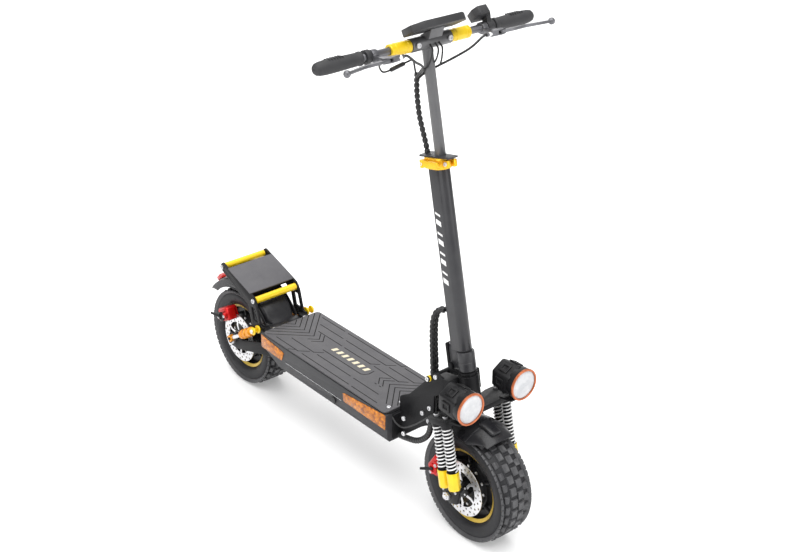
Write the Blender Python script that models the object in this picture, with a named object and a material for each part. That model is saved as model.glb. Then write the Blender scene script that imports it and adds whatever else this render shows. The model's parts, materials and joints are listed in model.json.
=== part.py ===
"""Electric kick scooter with a folding column, a telescopic mast, folding handlebar halves and sprung wheels.

Metres, +Z up, +X forwards, +Y to the rider's left. The origin is on the floor, midway between the two axles.
Parts of the steering column are built in the column's own frame: X forwards and Z up along the steering axis.
Every moving group hangs from an empty that sits on its joint's axis.
"""

import math

import bmesh
import bpy
from mathutils import Matrix, Vector

# Driving dimensions.
TYRE_RADIUS = 0.1325
TYRE_HALF_WIDTH = 0.043
RIM_RADIUS = 0.0862
WHEELBASE = 0.8714
GAP = 0.0003

DECK_REAR = -0.275
DECK_FRONT = 0.221
DECK_TOP = 0.2366
DECK_BOTTOM = 0.1555
DECK_HALF_WIDTH = 0.0865
MAT_THICKNESS = 0.004
LID_THICKNESS = 0.003

RAKE = math.radians(11.955)
COLUMN_POINT = Vector((0.3917, 0.0, 0.4157))
HEAD_LOW = -0.096
HEAD_HIGH = -0.0273
FOLD_FORWARD = -0.042
FOLD_HEIGHT = -0.012
STEM_LOW = 0.030
STEM_HIGH = 0.4388
STEM_HALF_WIDTH = 0.0165
CLAMP_HIGH = 0.4664
MAST_RADIUS = 0.0118
MAST_LOW = 0.300
MAST_FORWARD = -0.002

BAR_FORWARD = 0.0064
BAR_HEIGHT = 0.7094
BAR_RADIUS = 0.0085
BAR_PIVOT = 0.064
GRIP_INNER = 0.180
GRIP_OUTER = 0.2955
LEVER_PIVOT = Vector((0.0560, 0.1560, BAR_HEIGHT - 0.0075))

LEG_SIDE = 0.088
ROD_FORWARD = (0.012, -0.018)
SPRING_HIGH = -0.118
SPRING_LOW = -0.2217

ARM_PIVOT = Vector((-0.262, 0.0, 0.172))
SHOCK_FRONT = Vector((-0.303, 0.0, 0.2245))
SHOCK_REAR = Vector((-0.418, 0.0, 0.1515))
SHOCK_SIDE = 0.0845

REAR_AXLE = Vector((-WHEELBASE / 2, 0.0, TYRE_RADIUS))
FRONT_AXLE = Vector((WHEELBASE / 2, 0.0, TYRE_RADIUS))
SIDES = {"right": -1, "left": 1}

COLUMN = Matrix.Translation(COLUMN_POINT) @ Matrix.Rotation(-RAKE, 4, "Y")
WORLD = Matrix.Identity(4)


def clear_scene():
    for obj in list(bpy.data.objects):
        bpy.data.objects.remove(obj, do_unlink=True)


def paint(name, colour, roughness, metallic=0.0):
    material = bpy.data.materials.new(name)
    material.use_nodes = True
    shader = material.node_tree.nodes["Principled BSDF"]
    shader.inputs["Base Color"].default_value = (*colour, 1.0)
    shader.inputs["Roughness"].default_value = roughness
    shader.inputs["Metallic"].default_value = metallic
    return material


# Mesh builders. Each gives an object whose mesh holds its place, so its own transform stays plain.
def piece(name, shape, place=WORLD):
    bmesh.ops.remove_doubles(shape, verts=shape.verts, dist=1e-6)
    bmesh.ops.recalc_face_normals(shape, faces=shape.faces)
    shape.transform(place)
    mesh = bpy.data.meshes.new(name)
    shape.to_mesh(mesh)
    shape.free()
    mesh.shade_smooth()
    mesh.set_sharp_from_angle(angle=math.radians(35))
    obj = bpy.data.objects.new(name, mesh)
    bpy.context.scene.collection.objects.link(obj)
    return obj


def box(name, low, high, place=WORLD):
    low, high = Vector(low), Vector(high)
    shape = bmesh.new()
    bmesh.ops.create_cube(shape, size=1.0)
    bmesh.ops.scale(shape, vec=high - low, verts=shape.verts)
    bmesh.ops.translate(shape, vec=(low + high) / 2, verts=shape.verts)
    return piece(name, shape, place)


def chamfered_box(name, low, high, chamfer, place=WORLD):
    low, high = Vector(low), Vector(high)
    shape = bmesh.new()
    bmesh.ops.create_cube(shape, size=1.0)
    bmesh.ops.scale(shape, vec=high - low, verts=shape.verts)
    bmesh.ops.translate(shape, vec=(low + high) / 2, verts=shape.verts)
    bmesh.ops.bevel(shape, geom=shape.edges[:], offset=chamfer, segments=1, affect="EDGES")
    return piece(name, shape, place)


def along(start, end):
    """A matrix whose Z runs from start to end, with start as its origin."""
    start, end = Vector(start), Vector(end)
    turn = (end - start).to_track_quat("Z", "Y").to_matrix().to_4x4()
    return Matrix.Translation(start) @ turn


def rod(name, start, end, radius, sides=16, place=WORLD):
    length = (Vector(end) - Vector(start)).length
    shape = bmesh.new()
    bmesh.ops.create_cone(
        shape,
        cap_ends=True,
        segments=sides,
        radius1=radius,
        radius2=radius,
        depth=length,
        matrix=Matrix.Translation((0, 0, length / 2)),
    )
    return piece(name, shape, place @ along(start, end))


def turned(name, profile, start, direction, sides=32, place=WORLD):
    """Spins (radius, height) points about the line from start along direction. The profile is a closed loop,
    unless it starts and ends on the axis."""
    start = Vector(start)
    shape = bmesh.new()
    points = [shape.verts.new((radius, 0.0, height)) for radius, height in profile]
    ring = list(zip(points, points[1:]))
    if profile[0][0] > 0:
        ring.append((points[-1], points[0]))
    edges = [shape.edges.new(pair) for pair in ring]
    bmesh.ops.spin(
        shape,
        geom=points + edges,
        cent=(0, 0, 0),
        axis=(0, 0, 1),
        angle=math.tau,
        steps=sides,
        use_merge=True,
    )
    bmesh.ops.remove_doubles(shape, verts=shape.verts, dist=1e-6)
    return piece(name, shape, place @ along(start, start + Vector(direction)))


def rounded(corners, steps=4):
    """An outline of (x, z, radius) corners, each turned into an arc of that radius."""
    outline = []
    count = len(corners)
    for n, (x, z, radius) in enumerate(corners):
        here = Vector((x, z))
        before = (Vector(corners[n - 1][:2]) - here).normalized()
        after = (Vector(corners[(n + 1) % count][:2]) - here).normalized()
        if radius == 0:
            outline.append(here)
            continue
        half = before.angle(after) / 2
        centre = here + (before + after).normalized() * radius / math.sin(half)
        first = here + before * radius / math.tan(half) - centre
        last = here + after * radius / math.tan(half) - centre
        sweep = first.angle_signed(last)
        for step in range(steps + 1):
            turn = Matrix.Rotation(-sweep * step / steps, 2)
            outline.append(centre + turn @ first)
    return outline


def slab(name, outline, low, high, flat="XZ", place=WORLD):
    """Extrudes an outline. XZ outlines run along Y, XY outlines along Z and YZ outlines along X."""
    lay = {
        "XZ": lambda a, b, c: (a, c, b),
        "XY": lambda a, b, c: (a, b, c),
        "YZ": lambda a, b, c: (c, a, b),
    }[flat]
    shape = bmesh.new()
    face = shape.faces.new([shape.verts.new(lay(a, b, low)) for a, b in outline])
    grown = bmesh.ops.extrude_face_region(shape, geom=[face])
    moved = [v for v in grown["geom"] if isinstance(v, bmesh.types.BMVert)]
    bmesh.ops.translate(shape, vec=lay(0, 0, high - low), verts=moved)
    return piece(name, shape, place)


def pipe(name, points, radius):
    """A round tube along a curve through the points, as a closed mesh."""
    curve = bpy.data.curves.new(name, "CURVE")
    curve.dimensions = "3D"
    curve.bevel_depth = radius
    curve.bevel_resolution = 1
    curve.use_fill_caps = True
    path = smooth_path(points)
    spline = curve.splines.new("POLY")
    spline.points.add(len(path) - 1)
    for target, point in zip(spline.points, path):
        target.co = (*point, 1.0)
    guide = bpy.data.objects.new(name + "_guide", curve)
    bpy.context.scene.collection.objects.link(guide)
    bpy.context.view_layer.update()
    shape = bmesh.new()
    shape.from_mesh(guide.to_mesh())
    guide.to_mesh_clear()
    bpy.data.objects.remove(guide, do_unlink=True)
    return piece(name, shape)


def smooth_path(points, steps=3):
    """A Catmull-Rom curve through the points."""
    points = [Vector(p) for p in points]
    points = [points[0] * 2 - points[1], *points, points[-1] * 2 - points[-2]]
    path = []
    for a, b, c, d in zip(points, points[1:], points[2:], points[3:]):
        for step in range(steps):
            t = step / steps
            curve = 2 * b + (c - a) * t + (2 * a - 5 * b + 4 * c - d) * t * t
            path.append((curve + (3 * b - a - 3 * c + d) * t**3) / 2)
    return [*path, points[-2]]


def combine(target, operation, others):
    for other in others:
        other.hide_render = True
        other.display_type = "WIRE"
        change = target.modifiers.new(operation.title() + "_" + other.name, "BOOLEAN")
        change.operation = operation
        change.solver = "EXACT"
        change.object = other
    return target


def join(target, *others):
    return combine(target, "UNION", others)


def cut(target, *others):
    return combine(target, "DIFFERENCE", others)


def empty(name, at, parent=None):
    pivot = bpy.data.objects.new(name, None)
    pivot.empty_display_size = 0.02
    bpy.context.scene.collection.objects.link(pivot)
    pivot.location = at
    if parent:
        hang(pivot, parent)
    bpy.context.view_layer.update()
    return pivot


def hang(child, parent):
    bpy.context.view_layer.update()
    child.parent = parent
    child.matrix_parent_inverse = parent.matrix_world.inverted()


def finish(obj, material, parent=None):
    obj.data.materials.append(material)
    if parent:
        hang(obj, parent)
    return obj


# Deck.
def make_deck(paints, root):
    lid_low = DECK_TOP - MAT_THICKNESS - LID_THICKNESS - GAP
    side = DECK_HALF_WIDTH
    ledge = 0.0035
    section = [
        (side, lid_low - GAP),
        (side, 0.191),
        (side - ledge, 0.188),
        (side - ledge, DECK_BOTTOM + 0.007),
        (side - ledge - 0.007, DECK_BOTTOM),
    ]
    outline = section + [(-y, z) for y, z in reversed(section)]
    shell = slab("deck_shell", outline, DECK_REAR, DECK_FRONT, "YZ")
    tail = [(DECK_REAR - 0.01, 0.14), (-0.19, 0.14), (-0.19, DECK_BOTTOM), (DECK_REAR - 0.01, 0.197)]
    floor = DECK_BOTTOM + 0.004
    inside = [(-0.245, 0.196), (-0.182, floor), (0.208, floor), (0.208, 0.26), (-0.245, 0.26)]
    cut(
        shell,
        slab("deck_tail_cutter", tail, -0.1, 0.1),
        slab("deck_inside_cutter", inside, -side + 0.0075, side - 0.0075),
        rod("charge_hole_cutter", (0.020, -0.1, 0.174), (0.020, -0.06, 0.174), 0.0062, 16),
    )
    finish(shell, paints["black metal"], root)
    edge = [
        (DECK_REAR + 0.006, -side, 0.012),
        (DECK_FRONT, -side + 0.004, 0.012),
        (DECK_FRONT, side - 0.004, 0.012),
        (DECK_REAR + 0.006, side, 0.012),
    ]
    lid = slab("deck_lid", rounded(edge), lid_low, lid_low + LID_THICKNESS, "XY")
    finish(lid, paints["dark metal"], root)
    inner = [(x + (0.004 if x < 0 else -0.004), y * 0.965, r) for x, y, r in edge]
    mat = slab("deck_mat", rounded(inner), DECK_TOP - MAT_THICKNESS, DECK_TOP, "XY")
    finish(mat, paints["mat rubber"], root)
    battery = chamfered_box("battery_pack", (-0.165, -0.072, 0.162), (0.100, 0.072, 0.222), 0.004)
    finish(battery, paints["blue wrap"], root)
    controller = chamfered_box("motor_controller", (0.108, -0.060, 0.162), (0.200, 0.060, 0.205), 0.003)
    finish(controller, paints["raw metal"], root)
    hinge = empty("charge_cap_pivot", (0.020, -0.084, 0.182), root)
    cap = rod("charge_cap", (0.020, -0.0837, 0.174), (0.020, -0.0865, 0.174), 0.0085, 20)
    join(cap, rod("charge_plug", (0.020, -0.085, 0.174), (0.020, -0.0812, 0.174), 0.0055, 16))
    finish(cap, paints["rubber"], hinge)


def make_neck(paints, root):
    front = DECK_FRONT + GAP
    frame = box("neck_frame", (front, -0.068, 0.163), (front + 0.006, 0.068, 0.227))
    cheek = rounded(
        [
            (front, 0.166, 0),
            (0.300, 0.224, 0.012),
            (0.336, 0.248, 0.008),
            (0.338, 0.325, 0.010),
            (0.372, 0.342, 0.004),
            (0.366, 0.378, 0.004),
            (0.340, 0.384, 0.012),
            (0.312, 0.352, 0.020),
            (0.254, 0.288, 0.030),
            (front, 0.268, 0.010),
        ],
        2,
    )
    for name, side in SIDES.items():
        join(frame, slab("neck_cheek_" + name, cheek, side * 0.040, side * 0.046))
        narrow = [(0.330, 0.332), (0.392, 0.337), (0.384, 0.3820), (0.338, 0.3720)]
        join(frame, slab("neck_gusset_" + name, narrow, side * 0.012, side * 0.0455))
    bridge = [(front, 0.168), (0.296, 0.224), (0.296, 0.236), (front, 0.186)]
    join(frame, slab("neck_bridge", bridge, -0.043, 0.043))
    join(frame, rod("neck_bolt", (0.323, -0.054, 0.362), (0.323, 0.054, 0.362), 0.0065, 12))
    head = rod("head_tube", (0, 0, HEAD_LOW), (0, 0, HEAD_HIGH), 0.0225, 20, COLUMN)
    join(frame, head)
    cut(frame, rod("head_bore", (0, 0, HEAD_LOW - 0.02), (0, 0, HEAD_HIGH + 0.02), 0.0155, 20, COLUMN))
    finish(frame, paints["black metal"], root)


def make_rack(paints, root):
    slope = [
        (-0.4840, 0.3300, 0.007),
        (-0.4680, 0.3490, 0.007),
        (-0.3300, 0.3030, 0.008),
        (-0.3170, 0.2850, 0.008),
        (-0.3020, 0.2300, 0.004),
        (-0.2900, 0.2300, 0.002),
        (-0.2900, 0.2100, 0.002),
        (-0.3400, 0.2100, 0.004),
        (-0.3540, 0.2700, 0.012),
    ]
    window = [
        (-0.3240, 0.272, 0.002),
        (-0.3130, 0.236, 0.002),
        (-0.3330, 0.236, 0.002),
        (-0.3410, 0.272, 0.002),
    ]
    frame = None
    for name, side in SIDES.items():
        title = "rack_frame" if frame is None else "rack_arm_" + name
        arm = slab(title, rounded(slope, 2), side * 0.0645, side * 0.0690)
        cut(arm, slab("rack_window_" + name, rounded(window, 2), side * 0.06, side * 0.08))
        frame = arm if frame is None else join(frame, arm)
    plate = [(-0.4390, 0.3386), (-0.3472, 0.3051), (-0.3500, 0.2975), (-0.4418, 0.3310)]
    join(frame, slab("rack_plate", plate, -0.067, 0.067))
    lugs = [(-0.3020, 0.2110), (-0.2760 - GAP, 0.2110), (-0.2760 - GAP, 0.2260), (-0.3020, 0.2260)]
    for name, side in SIDES.items():
        join(frame, slab("rack_lug_" + name, lugs, side * 0.050, side * 0.067))
    for spot, (x, z) in {"rear": (-0.4704, 0.3338), "front": (-0.3313, 0.2905)}.items():
        cut(frame, rod("rack_hole_" + spot, (x, -0.08, z), (x, 0.08, z), 0.0043, 8))
        bar = rod("rack_bar_" + spot, (x, -0.0640, z), (x, 0.0640, z), 0.009, 16)
        join(bar, rod("rack_pin_" + spot, (x, -0.0700, z), (x, 0.0700, z), 0.004, 8))
        finish(bar, paints["yellow metal"], root)
    finish(frame, paints["black metal"], root)


def arc(centre, radius, start, end, steps):
    """Points round a centre in the XZ plane, angles in degrees from +X."""
    angles = [math.radians(start + (end - start) * n / steps) for n in range(steps + 1)]
    return [(centre[0] + radius * math.cos(a), centre[2] + radius * math.sin(a)) for a in angles]


def make_rear_fender(paints, root):
    centre = REAR_AXLE + Vector((0, 0, 0.005))
    outer = arc(centre, 0.1605, 29, 146, 16)
    inner = arc(centre, 0.1580, 146, 29, 16)
    fender = slab("rear_fender", outer + inner, -0.049, 0.049)
    for name, side in SIDES.items():
        wall = arc(centre, 0.1600, 29, 146, 16) + arc(centre, 0.1400, 140, 36, 12)
        join(fender, slab("fender_wall_" + name, wall, side * 0.0465, side * 0.0490))
    foot = [
        (-0.2935, 0.2130),
        (-0.2756, 0.2130),
        (-0.2756, 0.2185),
        (-0.2990, 0.2230),
        (-0.2990, 0.2140),
    ]
    join(fender, slab("fender_foot", foot, -0.047, 0.047))
    finish(fender, paints["gloss black"], root)
    light_angle = math.radians(134)
    light_at = centre + Vector((math.cos(light_angle), 0, math.sin(light_angle))) * 0.1612
    tilt = Matrix.Translation(light_at) @ Matrix.Rotation(math.radians(-44), 4, "Y")
    light = chamfered_box("taillight", (-0.011, -0.030, 0), (0.012, 0.030, 0.013), 0.002, tilt)
    finish(light, paints["red lens"], root)


def make_kickstand(paints, root):
    pivot = Vector((-0.105, 0.0975, 0.166))
    hinge = empty("kickstand_pivot", pivot, root)
    foot = Vector((-0.128, 0.172, 0.0065))
    leg = rod("kickstand", pivot, foot + Vector((0, 0, 0.0035)), 0.0060, 12)
    low, high = foot - Vector((0.016, 0.010, 0.0065)), foot + Vector((0.016, 0.012, 0.0025))
    join(leg, box("kickstand_foot", low, high))
    reach = Vector((0.012, 0, 0))
    join(leg, rod("kickstand_hub", pivot - reach, pivot + reach, 0.0085, 12))
    finish(leg, paints["black metal"], hinge)


# Wheels.
def make_wheel(spot, axle, paints, parent):
    hinge = empty(spot + "_wheel_pivot", axle, parent)
    width = TYRE_HALF_WIDTH
    half = [(0.0866, 0.029), (0.0960, 0.0395), (0.1110, width), (0.1240, 0.0390), (TYRE_RADIUS, 0.0240)]
    section = half + [(r, -y) for r, y in reversed(half)]
    tyre = turned(spot + "_tyre", section, axle, (0, 1, 0), 24)
    finish(tyre, paints["rubber"], hinge)
    hub = [
        (0.0064, 0.046),
        (0.0200, 0.046),
        (0.0200, 0.029),
        (0.0560, 0.026),
        (0.0620, 0.016),
        (RIM_RADIUS, 0.028),
    ]
    rim = turned(spot + "_rim", hub + [(r, -y) for r, y in reversed(hub)], axle, (0, 1, 0), 24)
    finish(rim, paints["black metal"], hinge)
    start = axle + Vector((0, -0.0463, 0))
    ring = [(0.0072, 0), (0.0660, 0), (0.0660, 0.002), (0.0072, 0.002)]
    disc = turned(spot + "_disc", ring, start, (0, -1, 0), 24)
    for n in range(5):
        turn = Matrix.Translation(axle) @ Matrix.Rotation(math.tau * n / 5, 4, "Y")
        window = [(0.024, -0.011), (0.046, -0.020), (0.046, 0.020), (0.024, 0.011)]
        cut(disc, slab(f"{spot}_disc_window_{n}", window, -0.06, -0.04, "XZ", turn))
    finish(disc, paints["steel"], hinge)


def make_caliper(name, at, turn, paints, parent):
    """A brake caliper that straddles the disc's edge. Its local X runs outwards from the axle."""
    place = Matrix.Translation(at) @ Matrix.Rotation(turn, 4, "Y")
    body = chamfered_box(name, (-0.014, -0.0740, -0.024), (0.022, -0.0400, 0.024), 0.004, place)
    cut(body, box(name + "_slot", (-0.02, -0.0500, -0.03), (0.014, -0.0448, 0.03), place))
    join(body, rod(name + "_arm", (0.004, -0.060, -0.016), (0.004, -0.082, -0.016), 0.006, 12, place))
    finish(body, paints["red metal"], parent)


# Steering.
def make_steering(paints, root):
    hinge = empty("steering_pivot", COLUMN @ Vector((0, 0, HEAD_LOW)), root)
    crown_low, crown_high = HEAD_LOW - 0.0125, HEAD_LOW - 0.0015
    outline = [
        (0.030, -0.104, 0.008),
        (0.034, -0.040, 0.010),
        (0.034, 0.040, 0.010),
        (0.030, 0.104, 0.008),
        (-0.034, 0.104, 0.008),
        (-0.034, 0.070, 0.008),
        (-0.026, 0.040, 0.010),
        (-0.026, -0.040, 0.010),
        (-0.034, -0.070, 0.008),
        (-0.034, -0.104, 0.008),
    ]
    crown = slab("fork_crown", rounded(outline, 2), crown_low, crown_high, "XY", COLUMN)
    tube_ends = (0, 0, crown_low + 0.002), (0, 0, HEAD_HIGH + 0.010)
    join(crown, rod("steering_tube", *tube_ends, 0.0148, 16, COLUMN))
    cap_ends = (0, 0, HEAD_HIGH + 0.001), (0, 0, HEAD_HIGH + 0.008)
    join(crown, rod("head_cap", *cap_ends, 0.0215, 6, COLUMN))
    for name, side in SIDES.items():
        ear = [
            (-0.010, HEAD_HIGH + 0.0012, 0),
            (FOLD_FORWARD - 0.006, HEAD_HIGH + 0.0012, 0.003),
            (FOLD_FORWARD - 0.006, FOLD_HEIGHT + 0.006, 0.0055),
            (FOLD_FORWARD + 0.007, FOLD_HEIGHT + 0.006, 0.0055),
            (FOLD_FORWARD + 0.007, HEAD_HIGH + 0.008, 0),
            (-0.010, HEAD_HIGH + 0.008, 0),
        ]
        join(crown, slab("fold_ear_" + name, rounded(ear, 3), side * 0.0085, side * 0.0145, "XZ", COLUMN))
        for n, forward in enumerate(ROD_FORWARD):
            at = (forward, side * LEG_SIDE)
            rod_ends = (*at, -0.230), (*at, crown_high + 0.007)
            join(crown, rod(f"fork_rod_{name}_{n}", *rod_ends, 0.0050, 8, COLUMN))
            cup_ends = (*at, SPRING_HIGH + GAP), (*at, crown_low + 0.002)
            join(crown, rod(f"spring_cup_{name}_{n}", *cup_ends, 0.0125, 10, COLUMN))
        bracket = [(0.026, -0.0985), (0.066, -0.0985), (0.066, -0.0945), (0.026, -0.0945)]
        join(crown, slab("lamp_shelf_" + name, bracket, side * 0.058, side * 0.096, "XZ", COLUMN))
    finish(crown, paints["black metal"], hinge)
    make_springs(paints, hinge)
    make_lamps(paints, hinge)
    make_fork_lower(paints, hinge)
    return hinge


def make_front_fender(paints, slide):
    centre = FRONT_AXLE + Vector((0.002, 0, 0.010))
    outer = arc(centre, 0.1465, 56, 118, 8)
    inner = arc(centre, 0.1440, 118, 56, 8)
    fender = slab("front_fender", outer + inner, -0.055, 0.055)
    for name, side in SIDES.items():
        wall = arc(centre, 0.1460, 57, 117, 8) + arc(centre, 0.1330, 112, 64, 6)
        join(fender, slab("mudguard_wall_" + name, wall, side * 0.0525, side * 0.0550))
        stay = [(0.372, 0.262), (0.386, 0.268), (0.412, 0.200), (0.398, 0.196)]
        join(fender, slab("mudguard_stay_" + name, stay, side * 0.0530, side * 0.0560))
        foot = [(0.398, 0.196), (0.412, 0.200), (0.4105, 0.204), (0.3965, 0.200)]
        join(fender, slab("mudguard_foot_" + name, foot, side * 0.0535, side * (LEG_SIDE - 0.0131)))
    finish(fender, paints["gloss black"], slide)


def coil(name, at, low, high, radius, wire, turns, place):
    """A square-wire compression spring with its axis along the local Z."""
    shape = bmesh.new()
    steps = turns * 6
    rings = []
    for n in range(steps + 1):
        angle = math.tau * n / 6
        height = low + wire + (high - low - 2 * wire) * n / steps
        ring = []
        for out, up in ((-1, -1), (1, -1), (1, 1), (-1, 1)):
            reach = radius + out * wire
            x = at[0] + reach * math.cos(angle)
            y = at[1] + reach * math.sin(angle)
            ring.append(shape.verts.new((x, y, height + up * wire)))
        rings.append(ring)
    for a, b in zip(rings, rings[1:]):
        for n in range(4):
            shape.faces.new((a[n], a[(n + 1) % 4], b[(n + 1) % 4], b[n]))
    shape.faces.new(rings[0])
    shape.faces.new(rings[-1])
    return piece(name, shape, place)


def make_springs(paints, hinge):
    for name, side in SIDES.items():
        for spot, forward in zip(("front", "rear"), ROD_FORWARD):
            at = (forward, side * LEG_SIDE)
            title = f"fork_spring_{spot}_{name}"
            spring = coil(title, at, SPRING_LOW, SPRING_HIGH, 0.0105, 0.0017, 8, COLUMN)
            finish(spring, paints["spring steel"], hinge)


def make_lamps(paints, hinge):
    for name, side in SIDES.items():
        middle = Vector((0.455, side * 0.0781, 0.3757))
        tilt = empty("lamp_pivot_" + name, middle, hinge)
        profile = [
            (0, -0.044),
            (0.016, -0.044),
            (0.026, -0.034),
            (0.033, -0.014),
            (0.0335, 0.014),
            (0.0355, 0.016),
            (0.0375, 0.036),
            (0.0330, 0.037),
            (0.0330, 0.030),
            (0, 0.030),
        ]
        lamp = turned("headlamp_" + name, profile, middle, (1, 0, 0), 16)
        foot = middle + Vector((-0.002, 0, -0.0345))
        low, high = foot - Vector((0.010, 0.012, 0.005)), foot + Vector((0.010, 0.012, 0.006))
        join(lamp, box("lamp_foot_" + name, low, high))
        finish(lamp, paints["black plastic"], tilt)
        lens = turned(
            "lamp_lens_" + name,
            [(0, 0.0303), (0.0326, 0.0303), (0.0326, 0.0350), (0.022, 0.0385), (0, 0.0400)],
            middle,
            (1, 0, 0),
            16,
        )
        finish(lens, paints["milk lens"], tilt)


def make_fork_lower(paints, hinge):
    slide = empty("fork_slide", COLUMN @ Vector((0, 0, SPRING_LOW)), hinge)
    axle = COLUMN.inverted() @ FRONT_AXLE
    for name, side in SIDES.items():
        leg = chamfered_box(
            "fork_leg_" + name,
            (-0.036, side * LEG_SIDE - 0.0135, -0.306),
            (0.024, side * LEG_SIDE + 0.0125, -0.264),
            0.004,
            COLUMN,
        )
        for n, forward in enumerate(ROD_FORWARD):
            at = (forward, side * LEG_SIDE)
            sleeve_ends = (*at, -0.268), (*at, SPRING_LOW - GAP)
            join(leg, rod(f"sleeve_{name}_{n}", *sleeve_ends, 0.0128, 12, COLUMN))
            bore_ends = (*at, -0.266), (*at, SPRING_LOW + 0.01)
            cut(leg, rod(f"sleeve_bore_{name}_{n}", *bore_ends, 0.0055, 8, COLUMN))
        ends = (axle.x, side * 0.05, axle.z), (axle.x, side * 0.12, axle.z)
        cut(leg, rod("axle_hole_" + name, *ends, 0.0063, 12, COLUMN))
        finish(leg, paints["yellow metal"], slide)
    ends = FRONT_AXLE + Vector((0, -0.108, 0)), FRONT_AXLE + Vector((0, 0.108, 0))
    make_front_fender(paints, slide)
    finish(rod("front_axle", *ends, 0.0060, 16), paints["steel"], slide)
    caliper_at = FRONT_AXLE + Vector((-0.056, 0, 0.036))
    make_caliper("front_caliper", caliper_at, math.radians(-147), paints, slide)
    make_wheel("front", FRONT_AXLE, paints, slide)


# Rear suspension.
def make_rear_end(paints, root):
    hinge = empty("swingarm_pivot", ARM_PIVOT, root)
    arm = None
    bar_ends = ARM_PIVOT + Vector((-0.022, -0.060, 0)), ARM_PIVOT + Vector((-0.022, 0.060, 0))
    for name, side in SIDES.items():
        outline = rounded(
            [
                (ARM_PIVOT.x + 0.006, ARM_PIVOT.z - 0.012, 0.005),
                (ARM_PIVOT.x + 0.006, ARM_PIVOT.z + 0.010, 0.005),
                (-0.300, 0.182, 0.010),
                (-0.395, 0.146, 0.020),
                (-0.425, 0.152, 0.006),
                (-0.456, 0.148, 0.010),
                (-0.458, 0.112, 0.012),
                (-0.420, 0.112, 0.010),
                (-0.360, 0.130, 0.020),
            ],
            2,
        )
        plate = slab("swingarm" if arm is None else "arm_plate_" + name, outline, side * 0.0585, side * 0.0655)
        arm = plate if arm is None else join(arm, plate)
        eye = SHOCK_REAR + Vector((0, side * 0.062, 0))
        join(arm, rod("shock_pin_" + name, eye, eye + Vector((0, side * 0.031, 0)), 0.0040, 8))
        join(arm, rod("shock_boss_" + name, eye, eye + Vector((0, side * 0.009, 0)), 0.0100, 12))
    join(arm, rod("arm_bar", *bar_ends, 0.0080, 12))
    ends = REAR_AXLE + Vector((0, -0.078, 0)), REAR_AXLE + Vector((0, 0.078, 0))
    join(arm, rod("rear_axle", *ends, 0.0060, 12))
    finish(arm, paints["black metal"], hinge)
    caliper_at = REAR_AXLE + Vector((-0.030, 0, 0.060))
    make_caliper("rear_caliper", caliper_at, math.radians(-117), paints, hinge)
    make_wheel("rear", REAR_AXLE, paints, hinge)
    make_shocks(paints, root)


def make_shocks(paints, root):
    reach = SHOCK_REAR - SHOCK_FRONT
    length = reach.length
    for name, side in SIDES.items():
        front = SHOCK_FRONT + Vector((0, side * SHOCK_SIDE, 0))
        hinge = empty("shock_pivot_" + name, front, root)
        profile = [
            (0, 0.010),
            (0.0095, 0.010),
            (0.0130, 0.014),
            (0.0130, 0.046),
            (0.0140, 0.047),
            (0.0140, 0.052),
            (0.0130, 0.053),
            (0.0130, 0.076),
            (0.0110, 0.080),
            (0.0058, 0.080),
            (0.0058, 0.056),
            (0, 0.056),
        ]
        body = turned("shock_body_" + name, profile, front, reach, 10)
        half_eye, half_drill = Vector((0, 0.006, 0)), Vector((0, 0.02, 0))
        join(body, rod("shock_eye_" + name, front - half_eye, front + half_eye, 0.0105, 12))
        cut(body, rod("shock_eye_hole_" + name, front - half_drill, front + half_drill, 0.0046, 8))
        finish(body, paints["gold metal"], hinge)
        slide = empty("shock_slide_" + name, front, hinge)
        tail = front + reach
        ahead = reach.normalized()
        inner, outer = front + ahead * 0.069, front + ahead * (length - 0.008)
        shaft = rod("shock_rod_" + name, inner, outer, 0.0050, 12)
        join(shaft, rod("rod_eye_" + name, tail - half_eye, tail + half_eye, 0.0095, 12))
        cut(shaft, rod("rod_eye_hole_" + name, tail - half_drill, tail + half_drill, 0.0052, 8))
        finish(shaft, paints["steel"], slide)


# Stem and mast.
def stem_outline(grow=0.0):
    """The stem's section: a half round in front and a flat back with rounded corners."""
    half = STEM_HALF_WIDTH + grow
    angles = [math.radians(-90 + 18 * n) for n in range(11)]
    front = [(MAST_FORWARD + half * math.cos(a), half * math.sin(a)) for a in angles]
    back = -0.0317 - grow
    corner = 0.006
    rear = []
    for centre_y, start in ((half - corner, 90), (-half + corner, 180)):
        for n in range(4):
            a = math.radians(start + 30 * n)
            rear.append((back + corner + corner * math.cos(a), centre_y + corner * math.sin(a)))
    return front + rear


def make_stem(paints, steering):
    hinge = empty("stem_pivot", COLUMN @ Vector((FOLD_FORWARD, 0, FOLD_HEIGHT)), steering)
    stem = slab("stem_tube", stem_outline(), STEM_LOW, STEM_HIGH, "XY", COLUMN)
    sleeve_low = HEAD_HIGH + 0.0110
    join(stem, rod("stem_sleeve", (0, 0, sleeve_low), (0, 0, STEM_LOW + 0.006), 0.0197, 20, COLUMN))
    spine = rounded(
        [
            (-0.015, sleeve_low + 0.002, 0),
            (FOLD_FORWARD + 0.002, FOLD_HEIGHT - 0.0055, 0.005),
            (FOLD_FORWARD - 0.0055, FOLD_HEIGHT + 0.001, 0.005),
            (FOLD_FORWARD - 0.003, 0.030, 0.004),
            (-0.030, 0.046, 0),
            (-0.015, 0.046, 0),
        ],
        3,
    )
    join(stem, slab("stem_spine", spine, -0.0080, 0.0080, "XZ", COLUMN))
    bore_ends = (MAST_FORWARD, 0, 0.060), (MAST_FORWARD, 0, 0.5)
    cut(
        stem,
        rod("stem_bore", *bore_ends, MAST_RADIUS + 0.0005, 20, COLUMN),
        rod("steering_tube_room", (0, 0, -0.05), (0, 0, HEAD_HIGH + 0.0125), 0.0155, 16, COLUMN),
    )
    finish(stem, paints["grey metal"], hinge)
    make_height_clamp(paints, hinge)
    make_fold_latch(paints, hinge)
    return hinge


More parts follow.
